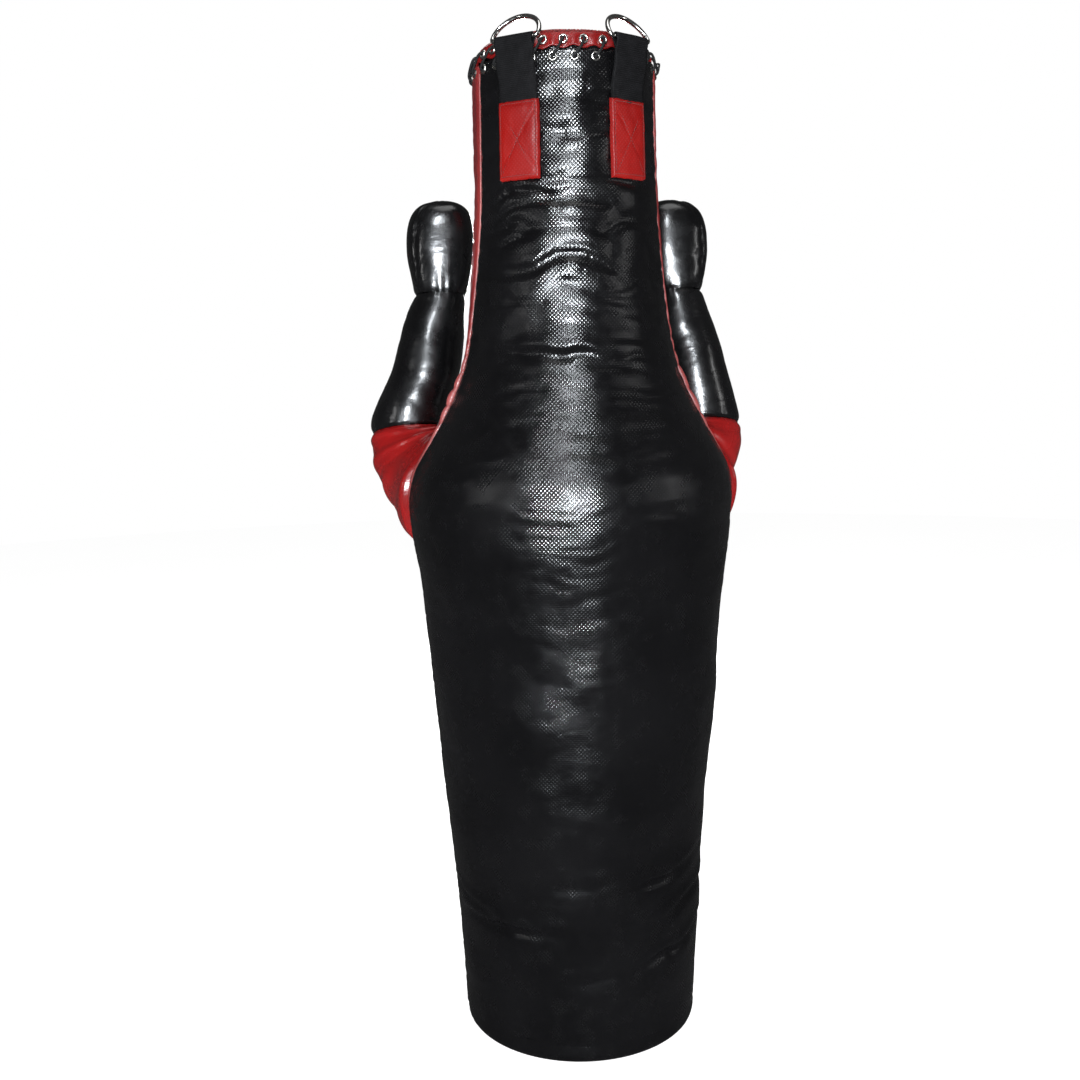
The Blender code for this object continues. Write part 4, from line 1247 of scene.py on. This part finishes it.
def arm_piece(name, rings, side, label, look, rise, replaced, cap=False):
    """One stuffed length of an arm. rise gives its folds, before and after settling."""
    points = loft(rings)
    normals = grid_normals(points, wrap=True)
    middle = points.mean(1)
    run = run_along(middle)[:, None]
    turn = ROUND[None, :]
    soft, sharp = rise(run, turn, points, 60 + 7 * side)
    moved = points + normals * soft[..., None]
    along = unit(middle[-1] - middle[0])
    slack = moved + ARM_SLACK * ((moved - middle[0]) @ along)[..., None] * along
    ends = bell(run, 0.006)
    if not cap:
        ends = ends + bell(run[-1] - run, 0.006)
    moved = settle(moved, np.clip(0.03 + ends, 0, 1) + 0 * turn, slack, pressure=3.0, frames=16, cap=0.007)
    moved = moved + normals * sharp[..., None]
    if side < 0:  # the two arms don't hang quite alike
        moved[..., 0] -= 0.005 * ease(0.88, 0.93, moved[..., 2]) + 0.018 * ease(0.965, 1.07, moved[..., 2])
        moved[..., 0] -= 0.003 * ease(1.15, 1.20, moved[..., 2])
    uv = measured_uv(moved, True)
    moved = moved * [side, 1, 1]
    piece = lay_grid(f"{name}_{label}", moved, uv, look, wrap=True, flip=side < 0, cap=cap)
    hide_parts(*replaced)
    return piece


def circle_waves(run, turn, cells_along, cells_round, seed):
    """Noise on a tube that closes on itself: cells along in metres, and cells in a full turn."""
    x, y = np.cos(turn) * cells_round / math.tau, np.sin(turn) * cells_round / math.tau
    far = run / cells_along
    return 0.6 * waves(x + far, y + 0 * run, seed) + 0.6 * waves(x + 0 * run, y + far, seed + 3)


def circle_folds(run, turn, cells_along, cells_round, seed):
    """Sharp valleys on such a tube."""
    wave = circle_waves(run, turn, cells_along, cells_round, seed)
    return -((1 - np.clip(np.sqrt(wave * wave + 0.015), 0, 1)) ** 3)


def sleeve_rise(run, turn, points, seed):
    """Slanting folds, and a puckered seam at the elbow."""
    end = run[-1, 0]
    slack = ease(0.0, 0.03, run) * (1 - ease(end - 0.02, end, run))
    found = 0.0030 * circle_waves(run, turn, 0.060, 4, seed)
    slanted = run + 0.030 * np.cos(turn - 0.9) + 0.018 * circle_waves(run, turn, 0.050, 3, seed + 1)
    strength = 0.55 + 0.45 * circle_waves(run, turn, 0.060, 4, seed + 3)
    wave = math.tau * slanted / ELBOW_FOLD
    found += 0.0023 * strength * np.cos(wave) + 0.0008 * strength * np.cos(2 * wave)
    seam = -0.0034 * bell(end - run, 0.004)
    pucker = 0.0022 * np.exp(-(end - run) / 0.014) * circle_folds(run * 0, turn, 1, 34, seed + 4)
    return found * slack, seam + pucker


def forearm_rise(run, turn, points, seed):
    """Soft folds, the long seam, and puckers at both ends."""
    end = run[-1, 0]
    near, far = np.exp(-run / 0.014), np.exp(-(end - run) / 0.012)
    slack = ease(0.0, 0.02, run) * (1 - ease(end - 0.015, end, run))
    found = 0.0024 * circle_waves(run, turn, 0.070, 3, seed + 10)
    found += 0.0014 * circle_folds(run + 0.020 * np.sin(turn), turn, 0.042, 4, seed + 11) + 0.0006
    found += 0.0005 * circle_folds(run, turn, 0.016, 10, seed + 12)
    # the long seam on the inner side, with its puckers
    away = np.abs((turn - math.radians(335) + math.pi) % math.tau - math.pi) * 0.055
    along_seam = -0.0036 * bell(away, 0.0035) + 0 * run
    along_seam += 0.0042 * np.exp(-away / 0.014) * folds(run / 0.010, away / 0.05, seed + 13)
    ends = -0.0030 * bell(run, 0.004) - 0.0018 * bell(end - run, 0.005)
    pucker = 0.0022 * (near + far) * circle_folds(run * 0, turn, 1, 30, seed + 14)
    return found * slack, along_seam * slack + ends + pucker


def hand_rise(run, turn, points, seed):
    """Soft folds, the seam over the mitt, and puckers at the wrist."""
    end = run[-1, 0]
    slack = ease(0.0, 0.012, run)
    found = 0.0022 * circle_waves(run, turn, 0.060, 3, seed + 20)
    found += 0.0010 * circle_folds(run, turn, 0.040, 4, seed + 21) + 0.0005
    wide = points[..., 0] - 0.2105
    deep = points[..., 1] - 0.2180
    seam = np.abs(deep + 0.80 * wide) * 0.78 + 0.0 * run
    along = points[..., 2]
    sewn = -0.0034 * bell(seam, 0.0030) * ease(0.004, 0.020, run)
    puckers = 0.0030 * np.exp(-seam / 0.009) * folds((along + wide) / 0.011, seam / 0.05, seed + 23)
    sewn += puckers * ease(0.004, 0.02, run)
    start = -0.0018 * bell(run, 0.005)
    pucker = 0.0030 * np.exp(-run / 0.016) * circle_folds(run * 0, turn, 1, 26, seed + 24)
    return found * slack, sewn * slack + start + pucker


for side, label in SIDES:
    sleeve_rings = [root_ring(-0.004, 1.0), root_ring(0.0035, 0.985), root_ring(0.013, 0.945)]
    sleeve_rings += [ring_points(r) for r in SLEEVE_RINGS]
    forearm_rings = [ring_points(r) for r in FOREARM_RINGS]
    hand_rings = [ring_points(HAND_RINGS[0])] + [hand_points(r) for r in HAND_RINGS[1:]]
    sleeve = arm_piece(
        "sleeve", sleeve_rings, side, label, red_leather, sleeve_rise,
        [f"upper_arm_{label}", f"upper_arm_fill_{label}"],
    )
    forearm = arm_piece(
        "forearm_sleeve", forearm_rings, side, label, black_leather, forearm_rise,
        [f"forearm_{label}", f"forearm_fill_{label}"],
    )
    hand = arm_piece(
        "mitt", hand_rings, side, label, black_leather, hand_rise,
        [f"hand_{label}", f"hand_fill_{label}"], cap=True,
    )
    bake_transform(sleeve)
    seam, facing = np.array(FOREARM_RINGS[0][0]), unit(np.array(FOREARM_RINGS[0][1]))
    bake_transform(forearm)
    wrist, facing = np.array(HAND_RINGS[0][0]), unit(np.array(HAND_RINGS[0][1]))
    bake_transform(hand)

# ---------------------------------------------------------------- floor and light

floor_look = Look("pale_floor", roughness=0.9, specular=0.1)
floor_look.colours(floor_look.noise(1.5, 2.0), [(0.4, (0.86, 0.86, 0.86)), (0.6, (0.89, 0.89, 0.89))])
floor_look.shader.inputs["Emission Color"].default_value = (1, 1, 1, 1)
floor_look.shader.inputs["Emission Strength"].default_value = 0.93
FLOOR_RADIUS, FLOOR_SIDES = 7, 96
turn = np.linspace(0, math.tau, FLOOR_SIDES, endpoint=False)
disc = np.stack([FLOOR_RADIUS * np.cos(turn), FLOOR_RADIUS * np.sin(turn), 0 * turn - 0.0004], -1)
floor = new_mesh("floor", disc, [list(range(FLOOR_SIDES))], floor_look.made)
floor.visible_glossy = False


def area_light(name, place, aim, size, power, colour=(1.0, 1.0, 1.0), shine_only=False):
    """A rectangular lamp. shine_only lamps make highlights and light nothing else."""
    data = bpy.data.lights.new(name, "AREA")
    data.shape, data.size, data.size_y, data.energy = "RECTANGLE", size[0], size[1], power
    data.color = colour
    lamp = bpy.data.objects.new(name, data)
    lamp.location = place
    lamp.rotation_euler = (Vector(aim) - Vector(place)).to_track_quat("-Z", "Y").to_euler()
    lamp.visible_diffuse = not shine_only
    bpy.context.scene.collection.objects.link(lamp)


area_light("key", (-0.50, -3.1, 1.20), (0, 0, 0.95), (0.36, 0.60), 58)
area_light("shine", (-0.50, -3.1, 1.16), (0, 0, 0.95), (0.26, 0.85), 185, (0.86, 0.93, 1.0), True)
area_light("high", (-0.42, -2.4, 3.0), (0, 0, 1.0), (0.34, 0.80), 60, (0.9, 0.95, 1.0), True)
area_light("top", (0.2, -0.4, 3.8), (0, 0, 1.2), (1.6, 1.4), 16)
area_light("left", (-3.0, -2.0, 1.7), (0, 0, 1.0), (0.3, 1.0), 9)
area_light("right", (3.0, -1.6, 1.7), (0, 0, 1.0), (0.3, 1.0), 8)
area_light("behind", (0.4, 3.1, 1.5), (0, 0, 0.95), (0.40, 0.60), 50)

world = bpy.data.worlds.new("studio")
bpy.context.scene.world = world
world.use_nodes = True
tree = world.node_tree
tree.nodes.clear()
# white where the camera sees it, and faint as a light
lit, seen = tree.nodes.new("ShaderNodeBackground"), tree.nodes.new("ShaderNodeBackground")
for shade, strength in ((lit, 0.05), (seen, 1.0)):
    shade.inputs["Color"].default_value, shade.inputs["Strength"].default_value = (1, 1, 1, 1), strength
mix = tree.nodes.new("ShaderNodeMixShader")
ray = tree.nodes.new("ShaderNodeLightPath")
output = tree.nodes.new("ShaderNodeOutputWorld")
tree.links.new(ray.outputs["Is Camera Ray"], mix.inputs[0])
tree.links.new(lit.outputs[0], mix.inputs[1])
tree.links.new(seen.outputs[0], mix.inputs[2])
tree.links.new(mix.outputs[0], output.inputs[0])
bpy.context.scene.view_settings.view_transform = "Standard"
